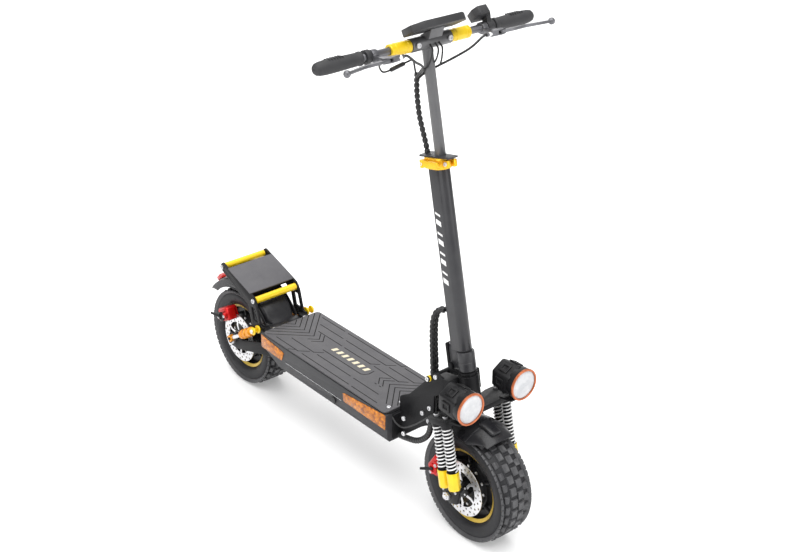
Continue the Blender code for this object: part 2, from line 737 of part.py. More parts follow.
def make_height_clamp(paints, hinge):
    low, high = STEM_HIGH + GAP, CLAMP_HIGH
    clamp = slab("height_clamp", stem_outline(0.0045), low, high, "XY", COLUMN)
    plate = [
        (0.040, -0.014, 0.005),
        (0.040, 0.014, 0.005),
        (-0.056, 0.019, 0.008),
        (-0.056, -0.019, 0.008),
    ]
    join(clamp, slab("clamp_plate", rounded(plate, 2), high - 0.0025, high + 0.0005, "XY", COLUMN))
    ear = [(0.010, low + 0.004), (0.034, low + 0.004), (0.034, high - 0.006), (0.010, high - 0.006)]
    join(clamp, slab("clamp_ear", ear, 0.0060, 0.0135, "XZ", COLUMN))
    bore_ends = (MAST_FORWARD, 0, low - 0.01), (MAST_FORWARD, 0, high + 0.01)
    cut(
        clamp,
        rod("clamp_bore", *bore_ends, MAST_RADIUS + 0.0004, 20, COLUMN),
        rod("cable_hole", (-0.0445, 0, high - 0.012), (-0.0445, 0, high + 0.01), 0.0075, 12, COLUMN),
    )
    finish(clamp, paints["gold metal"], hinge)
    middle = (low + high) / 2
    side = -STEM_HALF_WIDTH - 0.0045 - 0.0074
    swing = empty("clamp_lever_pivot", COLUMN @ Vector((-0.030, side, middle)), hinge)
    handle = [
        (-0.036, middle - 0.0075, 0.005),
        (0.020, middle - 0.0065, 0.004),
        (0.020, middle + 0.0065, 0.004),
        (-0.036, middle + 0.0075, 0.005),
    ]
    lever = slab("clamp_lever", rounded(handle, 3), side - 0.0035, side + 0.0035, "XZ", COLUMN)
    cam_ends = (-0.030, side, middle - 0.0085), (-0.030, side, middle + 0.0085)
    join(lever, rod("clamp_cam", *cam_ends, 0.0062, 16, COLUMN))
    finish(lever, paints["gold metal"], swing)


def make_fold_latch(paints, hinge):
    at = Vector((FOLD_FORWARD - 0.011, 0, 0.032))
    swing = empty("fold_latch_pivot", COLUMN @ at, hinge)
    outline = rounded(
        [
            (at.x - 0.0045, at.z + 0.006, 0.004),
            (at.x + 0.0035, at.z + 0.006, 0.003),
            (at.x + 0.0035, -0.014, 0.002),
            (at.x - 0.0010, -0.022, 0.002),
            (at.x - 0.0045, -0.022, 0.002),
        ],
        2,
    )
    latch = slab("fold_latch", outline, -0.0080, 0.0080, "XZ", COLUMN)
    finish(latch, paints["black metal"], swing)


def make_mast(paints, stem):
    slide = empty("mast_slide", COLUMN @ Vector((MAST_FORWARD, 0, MAST_LOW)), stem)
    tube_ends = (MAST_FORWARD, 0, MAST_LOW), (MAST_FORWARD, 0, BAR_HEIGHT - 0.0021)
    mast = rod("mast", *tube_ends, MAST_RADIUS, 20, COLUMN)
    ends = (BAR_FORWARD, -0.0535, BAR_HEIGHT), (BAR_FORWARD, 0.0535, BAR_HEIGHT)
    join(mast, rod("bar_clamp", *ends, 0.0150, 20, COLUMN))
    for name, side in SIDES.items():
        tongue = rounded(
            [
                (side * 0.050, BAR_HEIGHT - 0.0075, 0),
                (side * (BAR_PIVOT + 0.0075), BAR_HEIGHT - 0.0075, 0.0070),
                (side * (BAR_PIVOT + 0.0075), BAR_HEIGHT + 0.0075, 0.0070),
                (side * 0.050, BAR_HEIGHT + 0.0075, 0),
            ],
            5,
        )
        low, high = BAR_FORWARD - 0.0030, BAR_FORWARD + 0.0030
        join(mast, slab("bar_tongue_" + name, tongue, low, high, "YZ", COLUMN))
    arm = [
        (0.002, BAR_HEIGHT + 0.008),
        (0.028, BAR_HEIGHT + 0.008),
        (0.040, BAR_HEIGHT + 0.0286),
        (0.002, BAR_HEIGHT + 0.0162),
    ]
    join(mast, slab("display_arm", arm, -0.018, 0.018, "XZ", COLUMN))
    finish(mast, paints["grey metal"], slide)
    make_display(paints, slide)
    return slide


def make_display(paints, slide):
    place = Matrix.Translation(COLUMN @ Vector((0.034, 0, BAR_HEIGHT + 0.036)))
    tilt = place @ Matrix.Rotation(math.radians(-30), 4, "Y")
    outline = [
        (0.031, -0.052, 0.004),
        (0.031, 0.052, 0.004),
        (0.010, 0.0735, 0.006),
        (-0.031, 0.0700, 0.008),
        (-0.031, -0.0700, 0.008),
        (0.010, -0.0735, 0.006),
    ]
    display = slab("display", rounded(outline, 2), -0.008, 0.008, "XY", tilt)
    cut(display, box("display_pocket", (-0.0265, 0.0395, 0.0045), (-0.0125, 0.0565, 0.02), tilt))
    finish(display, paints["black plastic"], slide)
    press = empty("display_button_pivot", tilt @ Vector((-0.0195, 0.048, 0.0085)), slide)
    low, high = (-0.0255, 0.0405, 0.0063), (-0.0135, 0.0555, 0.0097)
    button = chamfered_box("display_button", low, high, 0.0008, tilt)
    finish(button, paints["rubber"], press)


# Handlebar halves.
def make_bar(name, side, paints, mast):
    pivot = Vector((BAR_FORWARD, side * BAR_PIVOT, BAR_HEIGHT))
    fold = empty("bar_pivot_" + name, COLUMN @ pivot, mast)
    start = (BAR_FORWARD, side * BAR_PIVOT, BAR_HEIGHT)
    end = (BAR_FORWARD, side * (GRIP_OUTER - 0.012), BAR_HEIGHT)
    bar = rod("bar_" + name, start, end, BAR_RADIUS, 12, COLUMN)
    half_knuckle = Vector((0.0083, 0, 0))
    ends = pivot - half_knuckle, pivot + half_knuckle
    join(bar, rod("bar_knuckle_" + name, *ends, 0.0080, 16, COLUMN))
    slot = rounded(
        [
            (side * (BAR_PIVOT - 0.02), BAR_HEIGHT - 0.02, 0),
            (side * (BAR_PIVOT + 0.0083), BAR_HEIGHT - 0.02, 0),
            (side * (BAR_PIVOT + 0.0083), BAR_HEIGHT + 0.02, 0),
            (side * (BAR_PIVOT - 0.02), BAR_HEIGHT + 0.02, 0),
        ]
    )
    cut(bar, slab("bar_slot_" + name, slot, BAR_FORWARD - 0.0034, BAR_FORWARD + 0.0034, "YZ", COLUMN))
    make_perch(bar, name, side)
    finish(bar, paints["grey metal"], fold)
    make_grip(name, side, paints, fold)
    move = empty("collar_slide_" + name, COLUMN @ pivot, fold)
    at = (BAR_FORWARD, side * 0.0543, BAR_HEIGHT)
    ring = [(0.0122, 0), (0.0140, 0), (0.0140, 0.0535), (0.0122, 0.0535)]
    collar = turned("collar_" + name, ring, at, (0, side, 0), 20, COLUMN)
    finish(collar, paints["yellow metal"], move)
    make_brake_lever(name, side, paints, fold)
    return fold


def make_perch(bar, name, side):
    """The lever's bracket: a ring on the bar, an arm forwards and a slotted housing along the bar."""
    ring = (BAR_FORWARD, side * 0.1420, BAR_HEIGHT), (BAR_FORWARD, side * 0.1560, BAR_HEIGHT)
    height = LEVER_PIVOT.z
    arm = [
        (BAR_FORWARD, side * 0.1430),
        (BAR_FORWARD, side * 0.1550),
        (0.0300, side * 0.1550),
        (0.0600, side * 0.1660),
        (0.0660, side * 0.1500),
        (0.0620, side * 0.1240),
        (0.0540, side * 0.1240),
        (0.0440, side * 0.1400),
    ]
    join(bar, rod("perch_ring_" + name, *ring, 0.0125, 12, COLUMN))
    join(bar, slab("perch_arm_" + name, arm, height - 0.0060, height + 0.0060, "XY", COLUMN))
    ends = (0.058, side * 0.1250, height), (0.058, side * 0.1120, height)
    join(bar, rod("adjuster_" + name, *ends, 0.0045, 8, COLUMN))
    slot = [(0.046, side * 0.1480), (0.080, side * 0.1360), (0.080, side * 0.1800), (0.046, side * 0.1800)]
    cut(bar, slab("perch_slot_" + name, slot, height - 0.0034, height + 0.0034, "XY", COLUMN))


def make_brake_lever(name, side, paints, fold):
    at = Vector((LEVER_PIVOT.x, side * LEVER_PIVOT.y, LEVER_PIVOT.z))
    swing = empty("brake_pivot_" + name, COLUMN @ at, fold)
    corners = [
        (0.0510, 0.1520, 0.003),
        (0.0640, 0.1480, 0.004),
        (0.0700, 0.1800, 0.020),
        (0.0700, 0.2150, 0.030),
        (0.0880, 0.2700, 0),
        (0.0820, 0.2740, 0),
        (0.0590, 0.2150, 0.030),
        (0.0560, 0.1800, 0.020),
        (0.0510, 0.1620, 0.003),
    ]
    outline = [(x, side * y) for x, y in rounded(corners, 3)]
    blade = slab("brake_lever_" + name, outline, at.z - 0.0031, at.z + 0.0031, "XY", COLUMN)
    angles = [math.radians(30 * n) for n in range(7)]
    profile = [(0.008 * math.sin(a), -0.008 * math.cos(a)) for a in angles]
    ball_at = (0.0860, side * 0.2757, at.z)
    join(blade, turned("lever_ball_" + name, profile, ball_at, (0, 0, 1), 10, COLUMN))
    finish(blade, paints["steel"], swing)


def make_grip(name, side, paints, fold):
    start = (BAR_FORWARD, side * GRIP_INNER, BAR_HEIGHT)
    length = GRIP_OUTER - GRIP_INNER
    bore = BAR_RADIUS + GAP
    profile = [
        (bore, 0),
        (0.0115, 0),
        (0.0125, 0.004),
        (0.0130, length * 0.35),
        (0.0155, length * 0.62),
        (0.0158, length * 0.78),
        (0.0135, length * 0.92),
        (0.0080, length - 0.002),
        (0, length),
    ]
    plug = [(0, length - 0.011), (bore, length - 0.011)]
    grip = turned("grip_" + name, plug + profile, start, (0, side, 0), 14, COLUMN)
    finish(grip, paints["rubber"], fold)


def make_throttle(paints, fold):
    at = Vector((BAR_FORWARD, -0.1660, BAR_HEIGHT))
    turn = empty("throttle_pivot", COLUMN @ at, fold)
    bore = BAR_RADIUS + GAP
    ring = [(bore, -0.0055), (0.0150, -0.0055), (0.0150, 0.0055), (bore, 0.0055)]
    lever = turned("throttle_lever", ring, at, (0, 1, 0), 16, COLUMN)
    paddle = [
        (BAR_FORWARD - 0.010, BAR_HEIGHT - 0.008, 0),
        (BAR_FORWARD - 0.036, BAR_HEIGHT - 0.016, 0.003),
        (BAR_FORWARD - 0.036, BAR_HEIGHT - 0.010, 0.002),
        (BAR_FORWARD - 0.012, BAR_HEIGHT + 0.006, 0),
    ]
    join(lever, slab("throttle_paddle", rounded(paddle, 2), -0.1710, -0.1610, "XZ", COLUMN))
    finish(lever, paints["black plastic"], turn)


def make_switch_pod(paints, fold):
    ring_ends = (BAR_FORWARD, 0.1575, BAR_HEIGHT), (BAR_FORWARD, 0.1765, BAR_HEIGHT)
    pod = rod("switch_pod", *ring_ends, 0.0130, 16, COLUMN)
    place = COLUMN @ Matrix.Translation((0.008, 0.1430, BAR_HEIGHT + 0.032))
    tilt = place @ Matrix.Rotation(math.radians(-35), 4, "Y")
    outline = [
        (0.019, -0.013, 0.003),
        (0.019, 0.013, 0.003),
        (0.006, 0.021, 0.003),
        (-0.019, 0.018, 0.004),
        (-0.019, -0.018, 0.004),
        (0.006, -0.021, 0.003),
    ]
    join(pod, slab("pod_case", rounded(outline, 2), -0.010, 0.008, "XY", tilt))
    low, high = (-0.002, 0.1585, BAR_HEIGHT + 0.008), (0.014, 0.1700, BAR_HEIGHT + 0.030)
    join(pod, box("pod_neck", low, high, COLUMN))
    bore_ends = (BAR_FORWARD, 0.15, BAR_HEIGHT), (BAR_FORWARD, 0.18, BAR_HEIGHT)
    cut(
        pod,
        rod("pod_bore", *bore_ends, BAR_RADIUS + GAP, 12, COLUMN),
        rod("pod_pocket", (0, 0, 0.0045), (0, 0, 0.02), 0.0065, 12, tilt),
    )
    finish(pod, paints["black plastic"], fold)
    press = empty("switch_button_pivot", tilt @ Vector((0, 0, 0.0085)), fold)
    button = rod("switch_button", (0, 0, 0.0063), (0, 0, 0.0100), 0.0058, 12, tilt)
    finish(button, paints["red lens"], press)


# Cables.
def make_cables(paints, root, stem, mast):
    hole = COLUMN @ Vector((-0.0445, 0, CLAMP_HIGH + 0.006))
    gather = Vector((0.214, 0.0, 1.020))
    route = [
        gather + Vector((0.006, 0, 0.03)),
        gather,
        (0.222, 0, 0.960),
        (0.236, 0, 0.905),
        hole,
    ]
    loom = pipe("cable_loom", route, 0.0058)
    for name, side in SIDES.items():
        end = COLUMN @ Vector((0.058, side * 0.1110, LEVER_PIVOT.z))
        route = [
            end,
            end + Vector((-0.006, -side * 0.030, -0.010)),
            (0.262, side * 0.034, 1.060),
            gather + Vector((0.004, 0, 0.010)),
        ]
        join(loom, pipe("brake_cable_" + name, route, 0.0022))
    finish(loom, paints["cable"], mast)
    exit_point = COLUMN @ Vector((-0.0395, 0, 0.1055))
    route = [
        exit_point,
        exit_point + Vector((-0.010, 0, -0.012)),
        (0.292, 0, 0.440),
        (0.287, 0, 0.380),
        (0.292, 0, 0.320),
        (0.300, 0, 0.2505),
    ]
    finish(pipe("stem_cable", route, 0.0058), paints["cable"], stem)
    conduit = [
        (0.2280, -0.052, 0.1610),
        (0.262, -0.053, 0.1610),
        (0.305, -0.0545, 0.1800),
        (0.336, -0.060, 0.2220),
        (0.352, -0.066, 0.2700),
    ]
    finish(pipe("motor_conduit", conduit, 0.0062), paints["cable"], root)


def main():
    clear_scene()
    paints = {
        "black metal": paint("black metal", (0.012, 0.012, 0.013), 0.42, 0.6),
        "dark metal": paint("dark metal", (0.03, 0.03, 0.032), 0.45, 0.5),
        "grey metal": paint("grey metal", (0.045, 0.045, 0.05), 0.40, 0.6),
        "raw metal": paint("raw metal", (0.55, 0.56, 0.58), 0.35, 1.0),
        "steel": paint("steel", (0.72, 0.72, 0.74), 0.25, 1.0),
        "spring steel": paint("spring steel", (0.80, 0.80, 0.82), 0.25, 0.9),
        "yellow metal": paint("yellow metal", (0.85, 0.60, 0.02), 0.32, 0.4),
        "gold metal": paint("gold metal", (0.80, 0.45, 0.02), 0.28, 0.8),
        "red metal": paint("red metal", (0.62, 0.02, 0.02), 0.32, 0.5),
        "gloss black": paint("gloss black", (0.015, 0.015, 0.016), 0.18),
        "black plastic": paint("black plastic", (0.02, 0.02, 0.022), 0.45),
        "mat rubber": paint("mat rubber", (0.07, 0.07, 0.075), 0.7),
        "rubber": paint("rubber", (0.02, 0.02, 0.02), 0.75),
        "red lens": paint("red lens", (0.55, 0.02, 0.02), 0.15),
        "milk lens": paint("milk lens", (0.85, 0.86, 0.87), 0.2),
        "blue wrap": paint("blue wrap", (0.03, 0.08, 0.30), 0.5),
        "cable": paint("cable", (0.012, 0.012, 0.012), 0.6),
    }
    root = empty("scooter", (0, 0, 0))
    make_deck(paints, root)
    make_neck(paints, root)
    make_rack(paints, root)
    make_rear_fender(paints, root)
    make_kickstand(paints, root)
    make_rear_end(paints, root)
    steering = make_steering(paints, root)
    stem = make_stem(paints, steering)
    mast = make_mast(paints, stem)
    folds = {name: make_bar(name, side, paints, mast) for name, side in SIDES.items()}
    make_throttle(paints, folds["right"])
    make_switch_pod(paints, folds["left"])
    make_cables(paints, root, stem, mast)


main()
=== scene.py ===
# %% [markdown]
# # An electric kick scooter, finished round its fixed frame
# The frame below holds every solid of the scooter at its true size, and each moving group is a body.
# This lesson covers those solids with modelled pieces and finishes. Plates get soft edges, round parts get
# fine rings, and tyres, springs and cables are made new, because a faceted solid can't show them.

# %% Load the frame
import json
import math

import bpy
from mathutils import Matrix, Vector

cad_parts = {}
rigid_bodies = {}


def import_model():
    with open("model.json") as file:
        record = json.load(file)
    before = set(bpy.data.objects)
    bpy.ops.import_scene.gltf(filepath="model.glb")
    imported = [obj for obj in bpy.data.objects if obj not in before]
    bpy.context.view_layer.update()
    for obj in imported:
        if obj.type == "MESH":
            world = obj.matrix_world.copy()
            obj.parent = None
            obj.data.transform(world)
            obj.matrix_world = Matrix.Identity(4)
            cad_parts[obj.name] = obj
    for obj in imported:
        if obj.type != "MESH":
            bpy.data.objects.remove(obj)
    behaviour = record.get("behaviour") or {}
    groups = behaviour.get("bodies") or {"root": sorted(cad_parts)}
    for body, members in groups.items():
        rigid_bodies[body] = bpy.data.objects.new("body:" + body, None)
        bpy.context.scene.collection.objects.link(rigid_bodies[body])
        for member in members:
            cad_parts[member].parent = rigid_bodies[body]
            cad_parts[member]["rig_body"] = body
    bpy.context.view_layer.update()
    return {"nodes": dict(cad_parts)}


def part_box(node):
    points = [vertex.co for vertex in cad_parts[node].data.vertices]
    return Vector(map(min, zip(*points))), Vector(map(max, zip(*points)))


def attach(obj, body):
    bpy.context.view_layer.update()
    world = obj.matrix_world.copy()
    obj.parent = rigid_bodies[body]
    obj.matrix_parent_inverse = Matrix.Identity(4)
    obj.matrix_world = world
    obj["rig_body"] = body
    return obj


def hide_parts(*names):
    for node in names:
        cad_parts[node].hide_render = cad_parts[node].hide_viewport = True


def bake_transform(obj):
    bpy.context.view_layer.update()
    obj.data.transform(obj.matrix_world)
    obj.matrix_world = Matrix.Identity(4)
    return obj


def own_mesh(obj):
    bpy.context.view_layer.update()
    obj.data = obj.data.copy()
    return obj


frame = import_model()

# %% [markdown]
# ## Camera and light
# The camera comes first, so that every later choice is judged from the same place. A long lens from the
# front right keeps the column upright. Three soft panels and a broad overhead light stand for a studio, so
# that every side is lit and shadows stay faint.

# %% Camera
VIEW_POINT = Vector((2.3305, -1.8344, 1.9887))
VIEW_AZIMUTH = math.radians(49.97)
VIEW_ELEVATION = math.radians(23.55)
VIEW_ROLL = math.radians(0.33)
camera_data = bpy.data.cameras.new("studio_camera")
camera_data.sensor_width = 36.0
camera_data.lens = 64.2
camera_data.shift_y = -0.1104
camera = bpy.data.objects.new("studio_camera", camera_data)
bpy.context.scene.collection.objects.link(camera)
look = Matrix.Rotation(VIEW_AZIMUTH, 4, "Z") @ Matrix.Rotation(math.pi / 2 - VIEW_ELEVATION, 4, "X")
camera.matrix_world = Matrix.Translation(VIEW_POINT) @ look @ Matrix.Rotation(VIEW_ROLL, 4, "Z")
bpy.context.scene.camera = camera
print("camera stands", round(VIEW_POINT.length, 2), "m from the origin")

# %% Lights and world
def soft_panel(name, place, target, size, power):
    light = bpy.data.lights.new(name, "AREA")
    light.shape = "RECTANGLE"
    light.size, light.size_y = size
    light.energy = power
    panel = bpy.data.objects.new(name, light)
    bpy.context.scene.collection.objects.link(panel)
    panel.location = place
    panel.rotation_euler = (Vector(target) - Vector(place)).to_track_quat("-Z", "Y").to_euler()


soft_panel("right_panel", (0.9, -2.8, 1.5), (0.0, 0.0, 0.5), (2.2, 1.8), 26)
soft_panel("front_panel", (3.2, 1.0, 1.6), (0.2, 0.0, 0.5), (1.8, 2.2), 26)
soft_panel("back_panel", (-2.6, 1.6, 1.8), (0.0, 0.0, 0.5), (2.2, 2.2), 26)
sky_light = bpy.data.lights.new("overhead", "SUN")
sky_light.energy = 4.2
sky_light.angle = math.radians(75)
overhead = bpy.data.objects.new("overhead", sky_light)
bpy.context.scene.collection.objects.link(overhead)
overhead.rotation_euler = (Vector((0.15, -0.25, 0)) - Vector((0.35, -0.55, 2.0))).to_track_quat("-Z", "Y").to_euler()
bpy.context.scene.view_settings.view_transform = "Standard"
world = bpy.data.worlds.new("pale_studio")
bpy.context.scene.world = world
world.use_nodes = True
world.node_tree.nodes["Background"].inputs["Color"].default_value = (1.0, 1.0, 1.0, 1.0)
world.node_tree.nodes["Background"].inputs["Strength"].default_value = 0.42
print("three panels, an overhead light and a white world")

# %% [markdown]
# ## Surface effects
# Several finishes share an effect, so each effect is built once as a node group and placed in each material
# with its own values. Mottle shifts a colour a little from place to place. Scuffs gives a mask of short
# rubbed marks. Dust settles on faces that look up. Grain and Brushing give heights for a Bump node.

# %% Node group helper
def new_group(name, inputs, outputs):
    """A shader node group with float or colour sockets: {name: default}."""
    group = bpy.data.node_groups.new(name, "ShaderNodeTree")
    for title, default in inputs.items():
        kind = "NodeSocketColor" if isinstance(default, tuple) else "NodeSocketFloat"
        socket = group.interface.new_socket(title, in_out="INPUT", socket_type=kind)
        socket.default_value = default
    for title, kind in outputs.items():
        group.interface.new_socket(title, in_out="OUTPUT", socket_type=kind)
    start = group.nodes.new("NodeGroupInput")
    end = group.nodes.new("NodeGroupOutput")
    return group, start, end


def add_noise(group, scale_from, detail, roughness=0.55):
    place = group.nodes.new("ShaderNodeTexCoord")
    noise = group.nodes.new("ShaderNodeTexNoise")
    noise.inputs["Detail"].default_value = detail
    noise.inputs["Roughness"].default_value = roughness
    group.links.new(place.outputs["Object"], noise.inputs["Vector"])
    group.links.new(scale_from, noise.inputs["Scale"])
    return noise


def add_range(group, value, low, high, new_low=0.0, new_high=1.0):
    span = group.nodes.new("ShaderNodeMapRange")
    span.inputs["From Min"].default_value = low
    span.inputs["From Max"].default_value = high
    span.inputs["To Min"].default_value = new_low
    span.inputs["To Max"].default_value = new_high
    group.links.new(value, span.inputs["Value"])
    return span.outputs["Result"]


def add_product(group, first, second):
    product = group.nodes.new("ShaderNodeMath")
    product.operation = "MULTIPLY"
    group.links.new(first, product.inputs[0])
    group.links.new(second, product.inputs[1])
    return product.outputs["Value"]


print("group helpers ready")

# %% Mottle: a colour that drifts between two tones
mottle, entry, leave = new_group(
    "Mottle",
    {"Colour": (0.5, 0.5, 0.5, 1.0), "Second Colour": (0.4, 0.4, 0.4, 1.0), "Scale": 20.0},
    {"Colour": "NodeSocketColor", "Value": "NodeSocketFloat"},
)
cloud = add_noise(mottle, entry.outputs["Scale"], 4.0)
share = add_range(mottle, cloud.outputs["Fac"], 0.35, 0.65)
blend_tones = mottle.nodes.new("ShaderNodeMix")
blend_tones.data_type = "RGBA"
mottle.links.new(share, blend_tones.inputs["Factor"])
mottle.links.new(entry.outputs["Colour"], blend_tones.inputs["A"])
mottle.links.new(entry.outputs["Second Colour"], blend_tones.inputs["B"])
mottle.links.new(blend_tones.outputs["Result"], leave.inputs["Colour"])
mottle.links.new(share, leave.inputs["Value"])
print("made", mottle.name)

# %% Scuffs: sparse rubbed marks
scuffs, entry, leave = new_group(
    "Scuffs", {"Scale": 60.0, "Amount": 0.2}, {"Mask": "NodeSocketFloat"}
)
marks = add_noise(scuffs, entry.outputs["Scale"], 6.0, 0.7)
marks.inputs["Distortion"].default_value = 1.2
sparse = add_range(scuffs, marks.outputs["Fac"], 0.60, 0.78)
scuffs.links.new(add_product(scuffs, sparse, entry.outputs["Amount"]), leave.inputs["Mask"])
print("made", scuffs.name)

# %% Dust: settles where a face looks up
dust, entry, leave = new_group(
    "Dust", {"Scale": 35.0, "Amount": 0.15}, {"Mask": "NodeSocketFloat"}
)
surface = dust.nodes.new("ShaderNodeNewGeometry")
split = dust.nodes.new("ShaderNodeSeparateXYZ")
dust.links.new(surface.outputs["Normal"], split.inputs["Vector"])
upward = add_range(dust, split.outputs["Z"], 0.2, 1.0)
patches = add_noise(dust, entry.outputs["Scale"], 5.0)
patchy = add_range(dust, patches.outputs["Fac"], 0.4, 0.75)
settled = add_product(dust, upward, patchy)
dust.links.new(add_product(dust, settled, entry.outputs["Amount"]), leave.inputs["Mask"])
print("made", dust.name)

# %% Grain: the fine height of powder coat, plastic or rubber
grain, entry, leave = new_group("Grain", {"Scale": 900.0}, {"Height": "NodeSocketFloat"})
fine = add_noise(grain, entry.outputs["Scale"], 3.0, 0.6)
grain.links.new(fine.outputs["Fac"], leave.inputs["Height"])
print("made", grain.name)

# %% Brushing: long fine lines left by a belt or a lathe
brushing, entry, leave = new_group(
    "Brushing", {"Along": 30.0, "Across": 1400.0}, {"Height": "NodeSocketFloat"}
)
place = brushing.nodes.new("ShaderNodeTexCoord")
stretch = brushing.nodes.new("ShaderNodeCombineXYZ")
brushing.links.new(entry.outputs["Along"], stretch.inputs["X"])
brushing.links.new(entry.outputs["Across"], stretch.inputs["Y"])
brushing.links.new(entry.outputs["Across"], stretch.inputs["Z"])
scale_lines = brushing.nodes.new("ShaderNodeVectorMath")
scale_lines.operation = "MULTIPLY"
brushing.links.new(place.outputs["Object"], scale_lines.inputs[0])
brushing.links.new(stretch.outputs["Vector"], scale_lines.inputs[1])
lines = brushing.nodes.new("ShaderNodeTexNoise")
lines.inputs["Scale"].default_value = 1.0
lines.inputs["Detail"].default_value = 2.0
brushing.links.new(scale_lines.outputs["Vector"], lines.inputs["Vector"])
brushing.links.new(lines.outputs["Fac"], leave.inputs["Height"])
print("made", brushing.name)

# %% [markdown]
# ## Finishes
# A kick scooter is mostly powder-coated steel and aluminium, with anodised parts in yellow and gold, plain
# steel discs, moulded plastic and three kinds of rubber. Every finish is a Principled BSDF fed by the
# groups: a mottled base colour, scuffs that change the roughness, dust, and a bump for the grain. Numbers
# that are the same all over, such as coat and specular level, sit on the shader's own sockets.

# %% A group placed in a material
def place_group(material, group, **values):
    node = material.node_tree.nodes.new("ShaderNodeGroup")
    node.node_tree = group
    for title, value in values.items():
        node.inputs[title.replace("_", " ")].default_value = value
    return node


print("group placing ready")

# %% A finish from the groups
ROUGHNESS_DRIFT = 0.10
DUST_TONE = (0.30, 0.29, 0.27, 1.0)
BUMP_DISTANCE = 0.001


def finish(name, colour, second, rough, metallic=0.0, grain_scale=900.0, bump=0.06, brushed=False,
           scuff=0.15, dusty=0.08, mottle_scale=25.0, coat=0.0, coat_rough=0.1, specular=0.5):
    """A material with drifting colour, rubbed marks, dust and a fine bump."""
    material = bpy.data.materials.new(name)
    material.use_nodes = True
    tree = material.node_tree
    shader = tree.nodes["Principled BSDF"]
    for socket, value in (("Metallic", metallic), ("Coat Weight", coat), ("Coat Roughness", coat_rough),
                          ("Specular IOR Level", specular)):
        shader.inputs[socket].default_value = value
    tones = place_group(material, mottle, Colour=(*colour, 1), Second_Colour=(*second, 1), Scale=mottle_scale)
    grime = place_group(material, dust, Scale=40.0, Amount=dusty)
    rubbed = place_group(material, scuffs, Scale=45.0, Amount=scuff)
    dusting = tree.nodes.new("ShaderNodeMix")
    dusting.data_type = "RGBA"
    dusting.inputs["B"].default_value = DUST_TONE
    tree.links.new(grime.outputs["Mask"], dusting.inputs["Factor"])
    tree.links.new(tones.outputs["Colour"], dusting.inputs["A"])
    tree.links.new(dusting.outputs["Result"], shader.inputs["Base Color"])
    spread = tree.nodes.new("ShaderNodeMath")
    spread.operation = "MULTIPLY_ADD"
    spread.inputs[1].default_value = ROUGHNESS_DRIFT
    spread.inputs[2].default_value = rough - ROUGHNESS_DRIFT / 2
    tree.links.new(tones.outputs["Value"], spread.inputs[0])
    rougher = tree.nodes.new("ShaderNodeMath")
    rougher.operation = "ADD"
    tree.links.new(spread.outputs["Value"], rougher.inputs[0])
    tree.links.new(rubbed.outputs["Mask"], rougher.inputs[1])
    tree.links.new(rougher.outputs["Value"], shader.inputs["Roughness"])
    relief = place_group(material, brushing) if brushed else place_group(material, grain, Scale=grain_scale)
    raise_surface = tree.nodes.new("ShaderNodeBump")
    raise_surface.inputs["Strength"].default_value = bump
    raise_surface.inputs["Distance"].default_value = BUMP_DISTANCE
    tree.links.new(relief.outputs["Height"], raise_surface.inputs["Height"])
    tree.links.new(raise_surface.outputs["Normal"], shader.inputs["Normal"])
    return material


print("finish helper ready")

# %% Powder coats and satin black
black_powder = finish("black_powder", (0.0065, 0.0065, 0.0075), (0.010, 0.010, 0.011), 0.42, bump=0.12,
    dusty=0.03, specular=0.14)
dark_powder = finish("dark_powder", (0.030, 0.030, 0.033), (0.036, 0.036, 0.039), 0.46, bump=0.12,
    dusty=0.04, specular=0.3)
plate_powder = finish("plate_powder", (0.074, 0.072, 0.078), (0.084, 0.082, 0.088), 0.50, bump=0.12,
    dusty=0.05, specular=0.3)
stem_powder = finish("stem_powder", (0.024, 0.024, 0.027), (0.032, 0.032, 0.035), 0.34, bump=0.06,
    dusty=0.05, specular=0.4)
mast_satin = finish("mast_satin", (0.100, 0.100, 0.104), (0.116, 0.116, 0.120), 0.36, metallic=0.4,
    brushed=True, bump=0.05, dusty=0.03, specular=0.5)
fork_black = finish("fork_black", (0.005, 0.005, 0.006), (0.009, 0.009, 0.010), 0.32, bump=0.08,
    dusty=0.03, specular=0.2)

# %% Anodised, painted and bare metal
yellow_anodised = finish("yellow_anodised", (0.80, 0.56, 0.006), (0.74, 0.49, 0.005), 0.34,
    metallic=0.25, dusty=0.02, coat=0.25, coat_rough=0.15)
gold_anodised = finish("gold_anodised", (0.88, 0.50, 0.012), (0.80, 0.41, 0.008), 0.30, metallic=0.55,
    brushed=True, dusty=0.02, coat=0.2)
amber_anodised = finish("amber_anodised", (0.66, 0.26, 0.008), (0.55, 0.19, 0.005), 0.32, metallic=0.5,
    dusty=0.02)
copper_ring = finish("copper_ring", (0.52, 0.15, 0.06), (0.44, 0.12, 0.045), 0.30, metallic=0.6,
    dusty=0.0)
rim_gold = finish("rim_gold", (0.62, 0.43, 0.06), (0.52, 0.35, 0.04), 0.34, metallic=0.45, dusty=0.02)
red_coat = finish("red_coat", (0.55, 0.004, 0.004), (0.42, 0.003, 0.003), 0.36, metallic=0.35,
    dusty=0.02, coat=0.1, coat_rough=0.2, specular=0.3)
plain_steel = finish("plain_steel", (0.72, 0.72, 0.73), (0.60, 0.60, 0.62), 0.26, metallic=1.0, brushed=True,
    bump=0.15, dusty=0.02)
disc_steel = finish("disc_steel", (0.70, 0.70, 0.71), (0.60, 0.60, 0.62), 0.30, metallic=0.9, brushed=True,
    bump=0.15, dusty=0.02)
bolt_zinc = finish("bolt_zinc", (0.70, 0.70, 0.71), (0.56, 0.56, 0.58), 0.30, metallic=0.8, dusty=0.02)
spring_white = finish("spring_white", (0.84, 0.84, 0.84), (0.76, 0.76, 0.76), 0.30, metallic=0.2,
    dusty=0.02, coat=0.3)
lever_alloy = finish("lever_alloy", (0.17, 0.17, 0.18), (0.12, 0.12, 0.13), 0.34, metallic=0.6, dusty=0.04)

